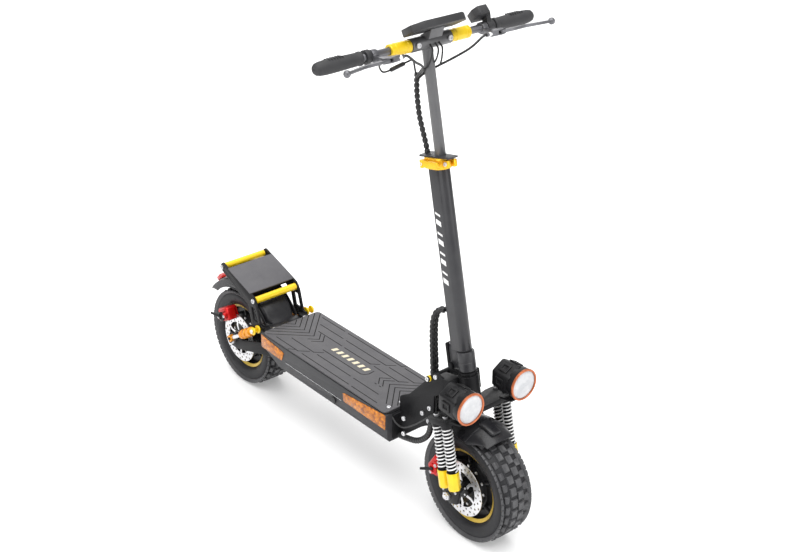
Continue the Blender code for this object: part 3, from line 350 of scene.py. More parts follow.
# %% Plastics, rubbers and cable sleeve
gloss_shell = finish("gloss_shell", (0.012, 0.012, 0.014), (0.016, 0.016, 0.018), 0.30, bump=0.02,
    dusty=0.03, coat=0.05, coat_rough=0.12, specular=0.3)
case_plastic = finish("case_plastic", (0.026, 0.026, 0.028), (0.034, 0.034, 0.036), 0.46,
    grain_scale=1300.0, bump=0.25, dusty=0.06, specular=0.35)
lamp_plastic = finish("lamp_plastic", (0.0065, 0.0065, 0.0075), (0.010, 0.010, 0.011), 0.40,
    bump=0.15, dusty=0.04, specular=0.2)
mat_rubber = finish("mat_rubber", (0.072, 0.070, 0.075), (0.082, 0.080, 0.085), 0.60, grain_scale=700.0,
    bump=0.25, dusty=0.06, specular=0.3)
# Painted shade: a near-black finish for the strips laid in the mat's grooves, standing in for the shade inside each
# groove.
groove_painted_shade = finish("groove_painted_shade", (0.010, 0.010, 0.010), (0.014, 0.014, 0.014), 0.75, bump=0.15,
    dusty=0.0, specular=0.15)
tyre_rubber = finish("tyre_rubber", (0.013, 0.013, 0.015), (0.020, 0.020, 0.022), 0.52, grain_scale=600.0,
    bump=0.20, dusty=0.04, specular=0.25)
# Painted sheen: the tread is the same rubber as the carcass, given a lighter base colour for the sheen on it. Its
# dust mask is real dust.
tread_rubber_painted_sheen = finish("tread_rubber_painted_sheen", (0.044, 0.044, 0.047), (0.058, 0.058, 0.062), 0.46, grain_scale=600.0,
    bump=0.20, dusty=0.08, specular=0.5)
grip_rubber = finish("grip_rubber", (0.030, 0.030, 0.032), (0.038, 0.038, 0.040), 0.60, grain_scale=1100.0,
    bump=0.35, dusty=0.05, specular=0.35)
cable_sleeve = finish("cable_sleeve", (0.012, 0.012, 0.013), (0.020, 0.020, 0.021), 0.45, bump=0.10,
    dusty=0.05, specular=0.4)

# %% Wrap, prints and lenses
pack_wrap = finish("pack_wrap", (0.03, 0.08, 0.30), (0.02, 0.06, 0.24), 0.40)
pale_print = finish("pale_print", (0.85, 0.85, 0.84), (0.78, 0.78, 0.77), 0.45, bump=0.02, dusty=0.0)
cream_print = finish("cream_print", (0.62, 0.56, 0.40), (0.54, 0.48, 0.34), 0.50, bump=0.02, dusty=0.0)
amber_lens = finish("amber_lens", (0.60, 0.20, 0.010), (0.20, 0.052, 0.006), 0.26, bump=0.10,
    mottle_scale=120.0, dusty=0.0, coat=0.15, coat_rough=0.05, specular=0.3)
red_lens = finish("red_lens", (0.55, 0.015, 0.015), (0.40, 0.01, 0.01), 0.18, bump=0.02, dusty=0.0,
    coat=0.5, coat_rough=0.05)
milk_lens = finish("milk_lens", (0.60, 0.60, 0.61), (0.44, 0.45, 0.47), 0.24, bump=0.04, dusty=0.0,
    mottle_scale=38.0, coat=0.2, coat_rough=0.1, specular=0.3)

# %% [markdown]
# ## Ways of making a piece
# Most pieces come from four ways of working by hand. A plate is an outline drawn vertex by vertex, filled
# and extruded. A turned part is a half profile spun about its axis. A rod is a cylinder with rounded ends.
# A softened part is a copy of a frame solid, merged and bevelled, so that its edges catch the light as real
# machined or cast edges do. All of them end at the origin, unturned, so that patterns stay in place.

# %% Sizes shared by the pieces
RAKE = math.radians(11.955)
COLUMN = Matrix.Translation((0.3917, 0.0, 0.4157)) @ Matrix.Rotation(-RAKE, 4, "Y")
UP_COLUMN = COLUMN.to_3x3() @ Vector((0, 0, 1))
FORWARD_COLUMN = COLUMN.to_3x3() @ Vector((1, 0, 0))
SIDES = {"right": -1, "left": 1}
REAR_AXLE = Vector((-0.4357, 0.0, 0.1325))
FRONT_AXLE = Vector((0.4357, 0.0, 0.1325))
AXLES = {"front": FRONT_AXLE, "rear": REAR_AXLE}
BAR_FORWARD, BAR_HEIGHT = 0.0064, 0.7094
print("the column leans", round(math.degrees(RAKE), 1), "degrees")

# %% Selection, place and soft edges
def rest_selection():
    if bpy.context.mode != "OBJECT":
        bpy.ops.object.mode_set(mode="OBJECT")
    bpy.ops.object.select_all(action="DESELECT")


def choose(piece):
    rest_selection()
    piece.select_set(True)
    bpy.context.view_layer.objects.active = piece


def settle(piece):
    """Moves a piece's place, turn and size into its mesh."""
    choose(piece)
    bpy.ops.object.transform_apply(location=True, rotation=True, scale=True)


def apply_all(piece):
    """Applies every modifier of a piece, in order."""
    choose(piece)
    for modifier in list(piece.modifiers):
        bpy.ops.object.modifier_apply(modifier=modifier.name)


def soften(piece, width, segments=2, angle=40):
    """Rounds every edge sharper than the angle."""
    bevel = piece.modifiers.new("edges", "BEVEL")
    bevel.width = width
    bevel.segments = segments
    bevel.limit_method = "ANGLE"
    bevel.angle_limit = math.radians(angle)
    bevel.use_clamp_overlap = True
    apply_all(piece)


print("selection and bevel ready")

# %% Naming, finishing and hanging a piece
def put(piece, name, material, body, bevel=0.0, smooth=35, replaces=()):
    """Names a piece, fixes its place in its mesh, gives its finish and hangs it on a body, unless that is None."""
    piece.name = piece.data.name = name
    settle(piece)
    if bevel:
        soften(piece, bevel)
    choose(piece)
    bpy.ops.object.shade_smooth_by_angle(angle=math.radians(smooth))
    piece.data.materials.clear()
    piece.data.materials.append(material)
    if body is not None:
        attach(piece, body)
    if replaces:
        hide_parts(*replaces)
    return piece


def facing(direction):
    return Vector(direction).to_track_quat("Z", "Y").to_matrix().to_4x4()


print("helpers ready")

# %% Rods and blocks
def rod(start, end, radius, sides=32, top_radius=None):
    """A cylinder or cone from start to end."""
    start, end = Vector(start), Vector(end)
    rest_selection()
    bpy.ops.mesh.primitive_cone_add(
        vertices=sides, radius1=radius, radius2=radius if top_radius is None else top_radius,
        depth=(end - start).length,
    )
    piece = bpy.context.object
    piece.matrix_world = Matrix.Translation((start + end) / 2) @ facing(end - start)
    return piece


def block(low, high, turn=None):
    """A box between two corners, in the frame of turn if one is given."""
    low, high = Vector(low), Vector(high)
    rest_selection()
    bpy.ops.mesh.primitive_cube_add(size=1.0)
    piece = bpy.context.object
    place = Matrix.Translation((low + high) / 2) @ Matrix.Diagonal((*(high - low), 1.0))
    piece.matrix_world = place if turn is None else turn @ place
    return piece


print("rods and blocks ready")

# %% Plates from an outline
def draw_chain(points):
    """Edges through the points: one vertex, extruded from point to point. Leaves edit mode on."""
    rest_selection()
    bpy.ops.mesh.primitive_plane_add(size=0.01)
    piece = bpy.context.object
    bpy.ops.object.mode_set(mode="EDIT")
    bpy.ops.mesh.select_mode(type="VERT")
    bpy.ops.mesh.select_all(action="SELECT")
    bpy.ops.mesh.merge(type="CENTER")
    bpy.ops.transform.translate(value=points[0])
    for here, there in zip(points, points[1:]):
        bpy.ops.mesh.extrude_vertices_move(TRANSFORM_OT_translate={"value": Vector(there) - Vector(here)})
    return piece


def plate(outline, depth, turn=None):
    """A filled outline of 3-D points, extruded by the vector depth."""
    piece = draw_chain([Vector(p) for p in outline])
    bpy.ops.mesh.select_all(action="SELECT")
    bpy.ops.mesh.edge_face_add()
    bpy.ops.mesh.extrude_region_move(TRANSFORM_OT_translate={"value": Vector(depth)})
    bpy.ops.mesh.select_all(action="SELECT")
    bpy.ops.mesh.normals_make_consistent(inside=False)
    rest_selection()
    if turn is not None:
        piece.matrix_world = turn
    return piece


def side_plate(outline, low, high, turn=None):
    """A plate whose (x, z) outline runs along Y from low to high."""
    return plate([(x, low, z) for x, z in outline], (0, high - low, 0), turn)


def flat_plate(outline, low, high, turn=None):
    """A plate whose (x, y) outline runs along Z from low to high."""
    return plate([(x, y, low) for x, y in outline], (0, 0, high - low), turn)


print("plates ready")

# %% Turned parts
def turned(profile, start, direction, steps=48):
    """Spins a (radius, height) profile about the line from start along direction."""
    piece = draw_chain([Vector((r, 0, h)) for r, h in profile])
    if profile[0][0] > 0 and profile[-1][0] > 0:
        mesh = piece.data
        bpy.ops.mesh.select_all(action="DESELECT")
        bpy.ops.object.mode_set(mode="OBJECT")
        mesh.vertices[0].select = True
        mesh.vertices[len(mesh.vertices) - 1].select = True
        bpy.ops.object.mode_set(mode="EDIT")
        bpy.ops.mesh.edge_face_add()
    bpy.ops.mesh.select_all(action="SELECT")
    bpy.ops.mesh.spin(steps=steps, angle=math.tau, center=(0, 0, 0), axis=(0, 0, 1), use_auto_merge=True)
    bpy.ops.mesh.select_all(action="SELECT")
    bpy.ops.mesh.remove_doubles(threshold=0.00001)
    bpy.ops.mesh.normals_make_consistent(inside=False)
    rest_selection()
    piece.matrix_world = Matrix.Translation(start) @ facing(direction)
    return piece


print("turned parts ready")

# %% Joining, sinking a face, cutting and thickening
def joined(pieces):
    """Several meshes as one object. Each is applied first, because a joined mesh keeps the first one's frame."""
    for piece in pieces:
        settle(piece)
    rest_selection()
    for piece in pieces:
        piece.select_set(True)
    bpy.context.view_layer.objects.active = pieces[0]
    bpy.ops.object.join()
    return bpy.context.object


def take_face(piece, rank):
    """Settles a piece and leaves it in edit mode with one face selected, the one that ranks highest."""
    settle(piece)
    index = max(piece.data.polygons, key=rank).index
    bpy.ops.object.mode_set(mode="EDIT")
    bpy.ops.mesh.select_mode(type="FACE")
    bpy.ops.mesh.select_all(action="DESELECT")
    bpy.ops.object.mode_set(mode="OBJECT")
    piece.data.polygons[index].select = True
    bpy.ops.object.mode_set(mode="EDIT")


def sunk_face(piece, rank, frame_width, gap, depth):
    """Leaves a flat frame round one face and sinks its middle."""
    take_face(piece, rank)
    bpy.ops.mesh.inset(thickness=frame_width, depth=0.0)
    bpy.ops.mesh.inset(thickness=gap, depth=-depth)
    rest_selection()


def cut(piece, cutter, **settings):
    """Takes the cutter's shape out of a piece with a Boolean, and removes the cutter."""
    taking = piece.modifiers.new("cut", "BOOLEAN")
    taking.operation = "DIFFERENCE"
    taking.solver = "EXACT"
    taking.object = cutter
    for setting, value in settings.items():
        setattr(taking, setting, value)
    apply_all(piece)
    bpy.data.objects.remove(cutter, do_unlink=True)


def thicken(piece, thickness):
    """Turns an open sheet's faces one way, then gives it a wall."""
    choose(piece)
    bpy.ops.object.mode_set(mode="EDIT")
    bpy.ops.mesh.select_all(action="SELECT")
    bpy.ops.mesh.normals_make_consistent(inside=False)
    rest_selection()
    wall = piece.modifiers.new("wall", "SOLIDIFY")
    wall.thickness = thickness
    wall.offset = 0.0
    apply_all(piece)


print("shaping helpers ready")

# %% Tubes on a smooth curve
def smooth_path(points, spacing):
    """Points at even steps on a smooth curve through the given ones."""
    points = [Vector(p) for p in points]
    ends = [points[0] * 2 - points[1], *points, points[-1] * 2 - points[-2]]
    fine = []
    for n in range(len(points) - 1):
        a, b, c, d = ends[n : n + 4]
        steps = max(8, int((c - b).length / spacing * 4))
        for k in range(steps):
            t = k / steps
            fine.append(0.5 * (
                2 * b + (c - a) * t + (2 * a - 5 * b + 4 * c - d) * t**2 + (3 * b - a - 3 * c + d) * t**3
            ))
    fine.append(points[-1])
    total = sum((q - p).length for p, q in zip(fine, fine[1:]))
    count = max(4, round(total / spacing))
    even, walked, goal = [fine[0]], 0.0, total / count
    for p, q in zip(fine, fine[1:]):
        reach = (q - p).length
        while walked + reach >= goal * len(even) and len(even) < count:
            even.append(p.lerp(q, (goal * len(even) - walked) / reach))
        walked += reach
    return [*even, fine[-1]]


def tube(points, radius, spacing=0.004, ribs=None):
    """A round cord through the points. With ribs, its radius steps between the two values of a short list."""
    rest_selection()
    path = smooth_path(points, spacing)
    line = bpy.data.curves.new("cord", "CURVE")
    line.dimensions = "3D"
    line.bevel_depth = radius
    line.bevel_resolution = 3
    line.use_fill_caps = True
    spline = line.splines.new("POLY")
    spline.points.add(len(path) - 1)
    for n, p in enumerate(path):
        spline.points[n].co = (*p, 1.0)
        spline.points[n].radius = 1.0 if ribs is None else ribs[n % len(ribs)]
    piece = bpy.data.objects.new("cord", line)
    bpy.context.scene.collection.objects.link(piece)
    choose(piece)
    bpy.ops.object.convert(target="MESH")
    return bpy.context.object


def cord(name, points, radius, spacing=0.004, ribs=None, body=None, material=None, replaces=()):
    """A tube with its name and finish. One that crosses a joint has no body."""
    piece = tube(points, radius, spacing, ribs)
    return put(piece, name, material or cable_sleeve, body, smooth=60, replaces=replaces)


print("tubes ready")

# %% Softened copies of the frame's solids
BODY_OF = {node: obj["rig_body"] for node, obj in frame["nodes"].items()}


def softened(node, width, material, name=None):
    """A copy of a frame solid with merged faces and rounded edges, which stands for it."""
    mesh = frame["nodes"][node].data.copy()
    piece = bpy.data.objects.new(node + "_finished", mesh)
    bpy.context.scene.collection.objects.link(piece)
    choose(piece)
    bpy.ops.object.mode_set(mode="EDIT")
    bpy.ops.mesh.select_all(action="SELECT")
    bpy.ops.mesh.remove_doubles(threshold=0.00001)
    bpy.ops.mesh.dissolve_limited(angle_limit=math.radians(1.0))
    bpy.ops.object.mode_set(mode="OBJECT")
    return put(piece, name or node + "_finished", material, BODY_OF[node], width, replaces=(node,))


print("softening ready")

# %% [markdown]
# ## Plates and castings
# Neck, fork crown, rack sides, rear arm, kickstand and levers are cut or cast pieces whose shape the frame
# already has. Their new copies get a small radius on each edge, as deburred metal has, and powder coat.

# %% Plates and castings
for node, width, material in (
    ("neck_frame", 0.0008, black_powder),
    ("rack_frame", 0.0008, black_powder),
    ("fork_crown", 0.0008, black_powder),
    ("swingarm", 0.0008, black_powder),
    ("kickstand", 0.0008, black_powder),
    ("fold_latch", 0.0008, black_powder),
    ("charge_cap", 0.0005, grip_rubber),
    ("front_caliper", 0.0012, red_coat),
    ("rear_caliper", 0.0012, red_coat),
    ("bar_right", 0.0005, lever_alloy),
    ("bar_left", 0.0005, lever_alloy),
    ("brake_lever_right", 0.0012, lever_alloy),
    ("brake_lever_left", 0.0012, lever_alloy),
    ("throttle_lever", 0.0006, case_plastic),
    ("switch_pod", 0.0010, case_plastic),
    ("switch_button", 0.0004, red_lens),
    ("display", 0.0015, case_plastic),
    ("display_button", 0.0004, grip_rubber),
    ("clamp_lever", 0.0012, gold_anodised),
    ("deck_shell", 0.0012, dark_powder),
    ("deck_lid", 0.0006, black_powder),
    ("battery_pack", 0.0010, pack_wrap),
    ("motor_controller", 0.0008, plain_steel),
    ("taillight", 0.0008, red_lens),
    ("mast", 0.0006, mast_satin),
):
    piece = softened(node, width, material)
    print(piece.name, len(piece.data.polygons), "faces")

# %% [markdown]
# ## Tyres
# A knobbly tyre is a smooth carcass with raised blocks: broad ones at the crown and long ones on the
# shoulder that grip soft ground. The carcass is a spun section. One pitch of blocks is modelled, then spun
# round the axle as copies, so every block has the same size.

# %% Tyre sizes
TYRE_PITCHES = 30
TREAD_BLOCKS = (
    # centre y, half width, half length, lowest radius, highest radius, turn in pitches, taper
    (-0.0095, 0.0085, 0.0100, 0.1270, 0.1323, 0.00, 0.86),
    (0.0095, 0.0085, 0.0100, 0.1270, 0.1323, 0.50, 0.86),
    (-0.0265, 0.0065, 0.0085, 0.1235, 0.1305, 0.45, 0.80),
    (0.0265, 0.0065, 0.0085, 0.1235, 0.1305, 0.95, 0.80),
)
CARCASS = (
    (0.0870, 0.0290), (0.0890, 0.0335), (0.0930, 0.0370), (0.0935, 0.0378), (0.0990, 0.0405),
    (0.1060, 0.0420), (0.1120, 0.0424), (0.1175, 0.0410), (0.1215, 0.0375), (0.1250, 0.0315),
    (0.1275, 0.0220), (0.1286, 0.0110), (0.1290, 0.0),
)
print(TYRE_PITCHES, "pitches of", len(TREAD_BLOCKS), "blocks")

# %% Tread block and shoulder lug
def tread_block(axle, spec):
    """One block: a box whose top is inset and drawn in, standing on the tyre at the bottom of the wheel."""
    middle, half_width, half_length, low, high, turn, taper = spec
    slope = 0.0 if abs(middle) < 0.02 else math.copysign(math.radians(24), middle)
    lean = Matrix.Rotation(-slope, 4, "X")
    place = Matrix.Translation((0, middle, -(low + high) / 2)) @ lean
    piece = block((-half_length, -half_width, (low - high) / 2), (half_length, half_width, (high - low) / 2), place)
    take_face(piece, lambda face: -face.center.z)
    bpy.ops.transform.resize(value=(taper, taper, 1.0))
    bpy.ops.mesh.inset(thickness=0.0012, depth=0.0)
    bpy.ops.mesh.inset(thickness=0.0016, depth=-0.0010)
    bpy.ops.object.mode_set(mode="OBJECT")
    spin = Matrix.Rotation(math.tau * turn / TYRE_PITCHES, 4, "Y")
    piece.matrix_world = Matrix.Translation(axle) @ spin
    return piece


def shoulder_lug(axle, side, turn):
    """A long lug that wraps over the shoulder: a box extruded down the side wall and drawn in."""
    piece = block((-0.0075, -0.0045, -0.0030), (0.0075, 0.0045, 0.0030))
    place = Matrix.Translation((0, side * 0.0365, -0.1205)) @ Matrix.Rotation(-side * math.radians(52), 4, "X")
    take_face(piece, lambda face: side * face.center.y)
    bpy.ops.mesh.extrude_region_move(TRANSFORM_OT_translate={"value": (0, side * 0.0060, 0.0012)})
    bpy.ops.transform.resize(value=(0.72, 1.0, 0.70))
    bpy.ops.object.mode_set(mode="OBJECT")
    piece.matrix_world = Matrix.Translation(axle) @ Matrix.Rotation(math.tau * turn / TYRE_PITCHES, 4, "Y") @ place
    return piece


print("block and lug ready")

# %% Copies round an axle, and both tyres
def repeat_round(piece, axle, count):
    """Copies all of a piece round the axle."""
    settle(piece)
    bpy.ops.object.mode_set(mode="EDIT")
    bpy.ops.mesh.select_all(action="SELECT")
    bpy.ops.mesh.spin(
        steps=count - 1, dupli=True, angle=math.tau * (count - 1) / count, center=axle, axis=(0, 1, 0),
        use_auto_merge=False,
    )
    rest_selection()
    return piece


def make_tyre(spot, axle):
    section = [*CARCASS, *((r, -y) for r, y in reversed(CARCASS[:-1]))]
    carcass = turned(section, axle, (0, 1, 0), 120)
    blocks = [tread_block(axle, spec) for spec in TREAD_BLOCKS]
    blocks += [shoulder_lug(axle, side, turn) for side in (-1, 1) for turn in (0.1 * side, 0.5 + 0.1 * side)]
    tread = repeat_round(joined(blocks), axle, TYRE_PITCHES)
    soften(tread, 0.0005, 1)
    body = spot + "_wheel"
    # The tread's lighter rubber is painted sheen.
    put(tread, spot + "_tread", tread_rubber_painted_sheen, body)
    return put(carcass, spot + "_carcass", tyre_rubber, body, replaces=(spot + "_tyre",))


for spot, axle in AXLES.items():
    print(make_tyre(spot, axle).name, "made")

# %% [markdown]
# ## Hub motors, rims and brake discs
# Each wheel is a black cast hub motor with a gold ring at the rim's edge, cover screws in a circle, and a
# drilled steel disc on the right. The rim is spun from its section, the screws are copied round, and the
# disc's holes are drilled with one Boolean, because a drilled disc is exactly that.

# %% Rim, cover and gold rings
RIM = (
    (0.0064, 0.0440), (0.0075, 0.0455), (0.0180, 0.0455), (0.0200, 0.0440), (0.0200, 0.0300),
    (0.0225, 0.0285), (0.0560, 0.0262), (0.0585, 0.0245), (0.0600, 0.0190), (0.0640, 0.0150),
    (0.0760, 0.0150), (0.0800, 0.0185), (0.0820, 0.0262), (0.0862, 0.0288),
)


def make_rim(spot, axle):
    body = spot + "_wheel"
    section = [*RIM, *((r, -y) for r, y in reversed(RIM))]
    put(turned(section, axle, (0, 1, 0), 96), spot + "_rim_finished", fork_black, body, replaces=(spot + "_rim",))
    for name, side in SIDES.items():
        ring = [(0.0800, 0.0), (0.0875, 0.0), (0.0885, 0.0034), (0.0872, 0.0046), (0.0822, 0.0022), (0.0800, 0.0010)]
        start = axle + Vector((0, side * 0.0270, 0))
        put(turned(ring, start, (0, side, 0), 96), f"{spot}_rim_ring_{name}", rim_gold, body)
        rib = block((-0.0030, side * 0.0190, 0.0590), (0.0030, side * 0.0262, 0.0835), Matrix.Translation(axle))
        ribs = repeat_round(rib, axle, 6)
        put(ribs, f"{spot}_rim_ribs_{name}", fork_black, body, bevel=0.0008)
        base = axle + Vector((0, side * 0.0262, 0.0505))
        screw = rod(base, base + Vector((0, side * 0.0022, 0)), 0.0036, 16)
        put(repeat_round(screw, axle, 12), f"{spot}_cover_screws_{name}", bolt_zinc, body, bevel=0.0005)


print("rim and cover ready")

# %% Brake discs
HOLE_ROWS = ((0.0480, 0.0), (0.0555, 0.5), (0.0622, 0.0))  # radius, and turn in pitches of one hole
HOLES_ROUND, HOLE_RADIUS = 16, 0.0026


def make_disc(spot, axle, side_at=-0.0464):
    start = axle + Vector((0, side_at, 0))
    outline = [(0.0440, 0), (0.0658, 0), (0.0662, 0.0004), (0.0662, 0.0014), (0.0658, 0.0018), (0.0440, 0.0018)]
    ring = turned(outline, start, (0, -1, 0), 96)
    holes = []
    for radius, shift in HOLE_ROWS:
        turn = Matrix.Translation(axle) @ Matrix.Rotation(math.tau * shift / HOLES_ROUND, 4, "Y")
        drill = rod((0, side_at - 0.004, radius), (0, side_at + 0.002, radius), HOLE_RADIUS, 10)
        drill.matrix_world = turn @ drill.matrix_world
        holes.append(repeat_round(drill, axle, HOLES_ROUND))
    cut(ring, joined(holes))
    body = spot + "_wheel"
    put(ring, spot + "_disc_ring", disc_steel, body, replaces=(spot + "_disc",))
    arm = side_plate([(-0.0035, 0.0200), (-0.0095, 0.0330), (-0.0080, 0.0455), (-0.0020, 0.0455), (-0.0030, 0.0340),
        (0.0035, 0.0210)],
                     side_at - 0.0017, side_at - 0.0001, Matrix.Translation(axle))
    put(repeat_round(arm, axle, 6), spot + "_disc_arms", disc_steel, body)
    carrier = turned([(0.0072, 0), (0.0215, 0), (0.0215, 0.0016), (0.0200, 0.0024), (0.0072, 0.0024)], start,
        (0, -1, 0), 48)
    put(carrier, spot + "_disc_carrier", fork_black, body)
    bolt = rod(axle + Vector((0, side_at - 0.0022, 0.0165)), axle + Vector((0, side_at - 0.0040, 0.0165)), 0.0026, 12)
    put(repeat_round(bolt, axle, 6), spot + "_disc_bolts", bolt_zinc, body, bevel=0.0004)


for spot, axle in AXLES.items():
    make_rim(spot, axle)
    make_disc(spot, axle)
    print(spot, "rim made, and a disc with", len(HOLE_ROWS) * HOLES_ROUND, "holes")

# %% Nuts and screws
def hex_nut(start, direction, radius, height, name, body, material=None):
    """A six-sided nut with a rounded outer edge and a sunk middle."""
    start, direction = Vector(start), Vector(direction).normalized()
    piece = rod(start, start + direction * height, radius, 6)
    sunk_face(piece, lambda face: face.center.dot(direction), radius * 0.45, radius * 0.02, height * 0.4)
    return put(piece, name, material or bolt_zinc, body, bevel=radius * 0.08)


def cap_screw(start, direction, radius, height, name, body):
    """A round screw head with a round sunk socket."""
    start, direction = Vector(start), Vector(direction).normalized()
    profile = [(0, 0), (radius, 0), (radius, height * 0.8), (radius * 0.86, height),
               (radius * 0.50, height), (radius * 0.46, height * 0.45), (0, height * 0.45)]
    return put(turned(profile, start, direction, 18), name, bolt_zinc, body)


print("nuts and screws ready")

# %% Axles and their nuts
put(rod(FRONT_AXLE - Vector((0, 0.0985, 0)), FRONT_AXLE + Vector((0, 0.0985, 0)), 0.0060, 32), "front_axle_rod",
    plain_steel,
    "fork_lower", bevel=0.0008, replaces=("front_axle",))
for name, side in SIDES.items():
    hex_nut(FRONT_AXLE + Vector((0, side * 0.0880, 0)), (0, side, 0), 0.0105, 0.0068, "front_axle_nut_" + name,
        "fork_lower")
    hex_nut(REAR_AXLE + Vector((0, side * 0.0660, 0)), (0, side, 0), 0.0105, 0.0075, "rear_axle_nut_" + name,
        "swingarm")
print("axles and nuts made")

# %% [markdown]
# ## Caliper details
# A caliper squeezes the disc between two pads. On its outer face it carries an adjuster knob, two screws on
# round lugs and the black arm that the brake pulls. They are turned parts and a rod, set in line on each body.

# %% Caliper details
for spot, body in (("front", "fork_lower"), ("rear", "swingarm")):
    low, high = (Vector(corner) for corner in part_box(spot + "_caliper"))
    middle = (low + high) / 2
    outer = low.y
    away = (middle - AXLES[spot]).normalized()
    along = Vector((-away.z, 0, away.x))
    knob_at = Vector((middle.x, outer + 0.0005, middle.z)) - away * 0.004
    knob = turned([(0, 0), (0.0125, 0), (0.0130, 0.0010), (0.0130, 0.0040), (0.0105, 0.0052), (0.0070, 0.0052),
        (0.0062, 0.0030), (0, 0.0030)], knob_at, (0, -1, 0), 24)
    put(knob, spot + "_caliper_knob", fork_black if spot == "rear" else red_coat, body)
    for step, shift in enumerate((-0.0185, 0.0185)):
        at = knob_at + along * shift
        lug = turned([(0, 0), (0.0062, 0), (0.0066, 0.0006), (0.0066, 0.0034), (0.0055, 0.0046), (0, 0.0046)],
            at + Vector((0, 0.002, 0)), (0, -1, 0), 20)
        put(lug, f"{spot}_caliper_lug_{step}", red_coat, body)
        cap_screw(at - Vector((0, 0.0026, 0)), (0, -1, 0), 0.0038, 0.0026, f"{spot}_caliper_screw_{step}", body)
    arm = rod(knob_at + Vector((0, -0.0035, 0)), knob_at + Vector((0, -0.0035,
        0)) + (along + away).normalized() * 0.030, 0.0032, 16)
    put(arm, spot + "_caliper_arm", fork_black, body, bevel=0.0008)
print("caliper details made")

# %% [markdown]
# ## Fork legs and springs
# Each side of the fork carries two short springs of white round wire over a black rod. Their lower ends sit
# in yellow faceted sleeves above a black axle block. The wire is a circle swept by a Screw modifier.

# %% Springs
SPRING_LOW, SPRING_HIGH = -0.2217, -0.1180
SPRING_TURNS, WIRE = 12, 0.0016
LEG_SIDE = 0.088
ROD_FORWARD = {"front": 0.012, "rear": -0.018}


def make_spring(name, spot, side):
    rest_selection()
    bpy.ops.mesh.primitive_circle_add(vertices=10, radius=WIRE, fill_type="NOTHING", rotation=(math.pi / 2, 0, 0),
        location=(0.0108, 0, 0))
    wire = bpy.context.object
    bpy.ops.object.transform_apply(location=True, rotation=True, scale=True)
    coil = wire.modifiers.new("coil", "SCREW")
    coil.axis = "Z"
    coil.iterations = SPRING_TURNS
    coil.screw_offset = (SPRING_HIGH - SPRING_LOW - 2 * WIRE) / SPRING_TURNS
    coil.steps = coil.render_steps = 24
    coil.merge_threshold = 0.0001
    apply_all(wire)
    bpy.ops.object.mode_set(mode="EDIT")
    bpy.ops.mesh.select_all(action="DESELECT")
    bpy.ops.mesh.select_mode(type="EDGE")
    bpy.ops.mesh.select_non_manifold(use_wire=False, use_multi_face=False, use_non_contiguous=False, use_verts=False)
    bpy.ops.mesh.edge_face_add()
    bpy.ops.mesh.select_all(action="SELECT")
    bpy.ops.mesh.normals_make_consistent(inside=False)
    rest_selection()
    wire.matrix_world = COLUMN @ Matrix.Translation((ROD_FORWARD[spot], side * LEG_SIDE, SPRING_LOW + WIRE))
    node = f"fork_spring_{spot}_{name}"
    put(wire, node + "_wire", spring_white, "steering", smooth=60, replaces=(node,))
    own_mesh(wire)
    return wire


for name, side in SIDES.items():
    for spot in ROD_FORWARD:
        make_spring(name, spot, side)
print("four springs of", SPRING_TURNS, "turns")

# %% Inner rods, sleeves and axle blocks
def column_point(forward, across, up):
    return COLUMN @ Vector((forward, across, up))


for name, side in SIDES.items():
    for spot, forward in ROD_FORWARD.items():
        at = (forward, side * LEG_SIDE)
        shaft = rod(column_point(*at, -0.2290), column_point(*at, -0.1060), 0.0090, 24)
        put(shaft, f"fork_rod_{spot}_{name}", fork_black, "steering")
        cup = turned([(0.0, 0), (0.0128, 0), (0.0134, 0.0008), (0.0134, 0.0070), (0.0110, 0.0088), (0.0, 0.0088)],
                     column_point(*at, SPRING_HIGH + 0.0004), UP_COLUMN, 32)
        put(cup, f"spring_cup_{spot}_{name}", fork_black, "steering")
        nut_at = column_point(*at, -0.0975)
        hex_nut(nut_at, UP_COLUMN, 0.0066, 0.0060, f"fork_rod_nut_{spot}_{name}", "steering")
        sleeve = rod(column_point(*at, -0.2640), column_point(*at, SPRING_LOW - 0.0004), 0.0146, 8)
        put(sleeve, f"fork_sleeve_{spot}_{name}", yellow_anodised, "fork_lower", bevel=0.0010)
        collar = turned([(0.0070, 0), (0.0132, 0), (0.0132, 0.0012), (0.0070, 0.0012)],
            column_point(*at, SPRING_LOW - 0.0010), UP_COLUMN, 32)
        put(collar, f"fork_sleeve_ring_{spot}_{name}", fork_black, "fork_lower")
    axle_block = side_plate([(-0.034, -0.2600), (0.024, -0.2600), (0.026, -0.2680), (0.010, -0.3030),
        (-0.014, -0.3060), (-0.034, -0.2800)],
                            side * 0.0765, side * 0.0880, COLUMN)
    put(axle_block, "axle_block_" + name, fork_black, "fork_lower", bevel=0.0020, replaces=("fork_leg_" + name,))
    for step, (forward, up) in enumerate(((-0.026, -0.272), (0.014, -0.272), (-0.026, -0.295))):
        cap_screw(column_point(forward, side * 0.0878, up), (0, side, 0), 0.0034, 0.0030,
                  f"axle_block_screw_{name}_{step}", "fork_lower")
print("fork legs made")

# %% [markdown]
# ## Front mudguard
# The front mudguard is a short domed shell over the top of the tyre, with a raised boss and a rolled edge.
# A flat strip can't give that dome, so it starts as a grid and each row is bent round the wheel, then
# crowned across. A Solidify modifier gives the thickness.

# %% A shell bent round an axle
ROLL_FROM, END_WIDTH = 0.86, 0.62  # where the edge starts to roll down, and how wide the two ends stay


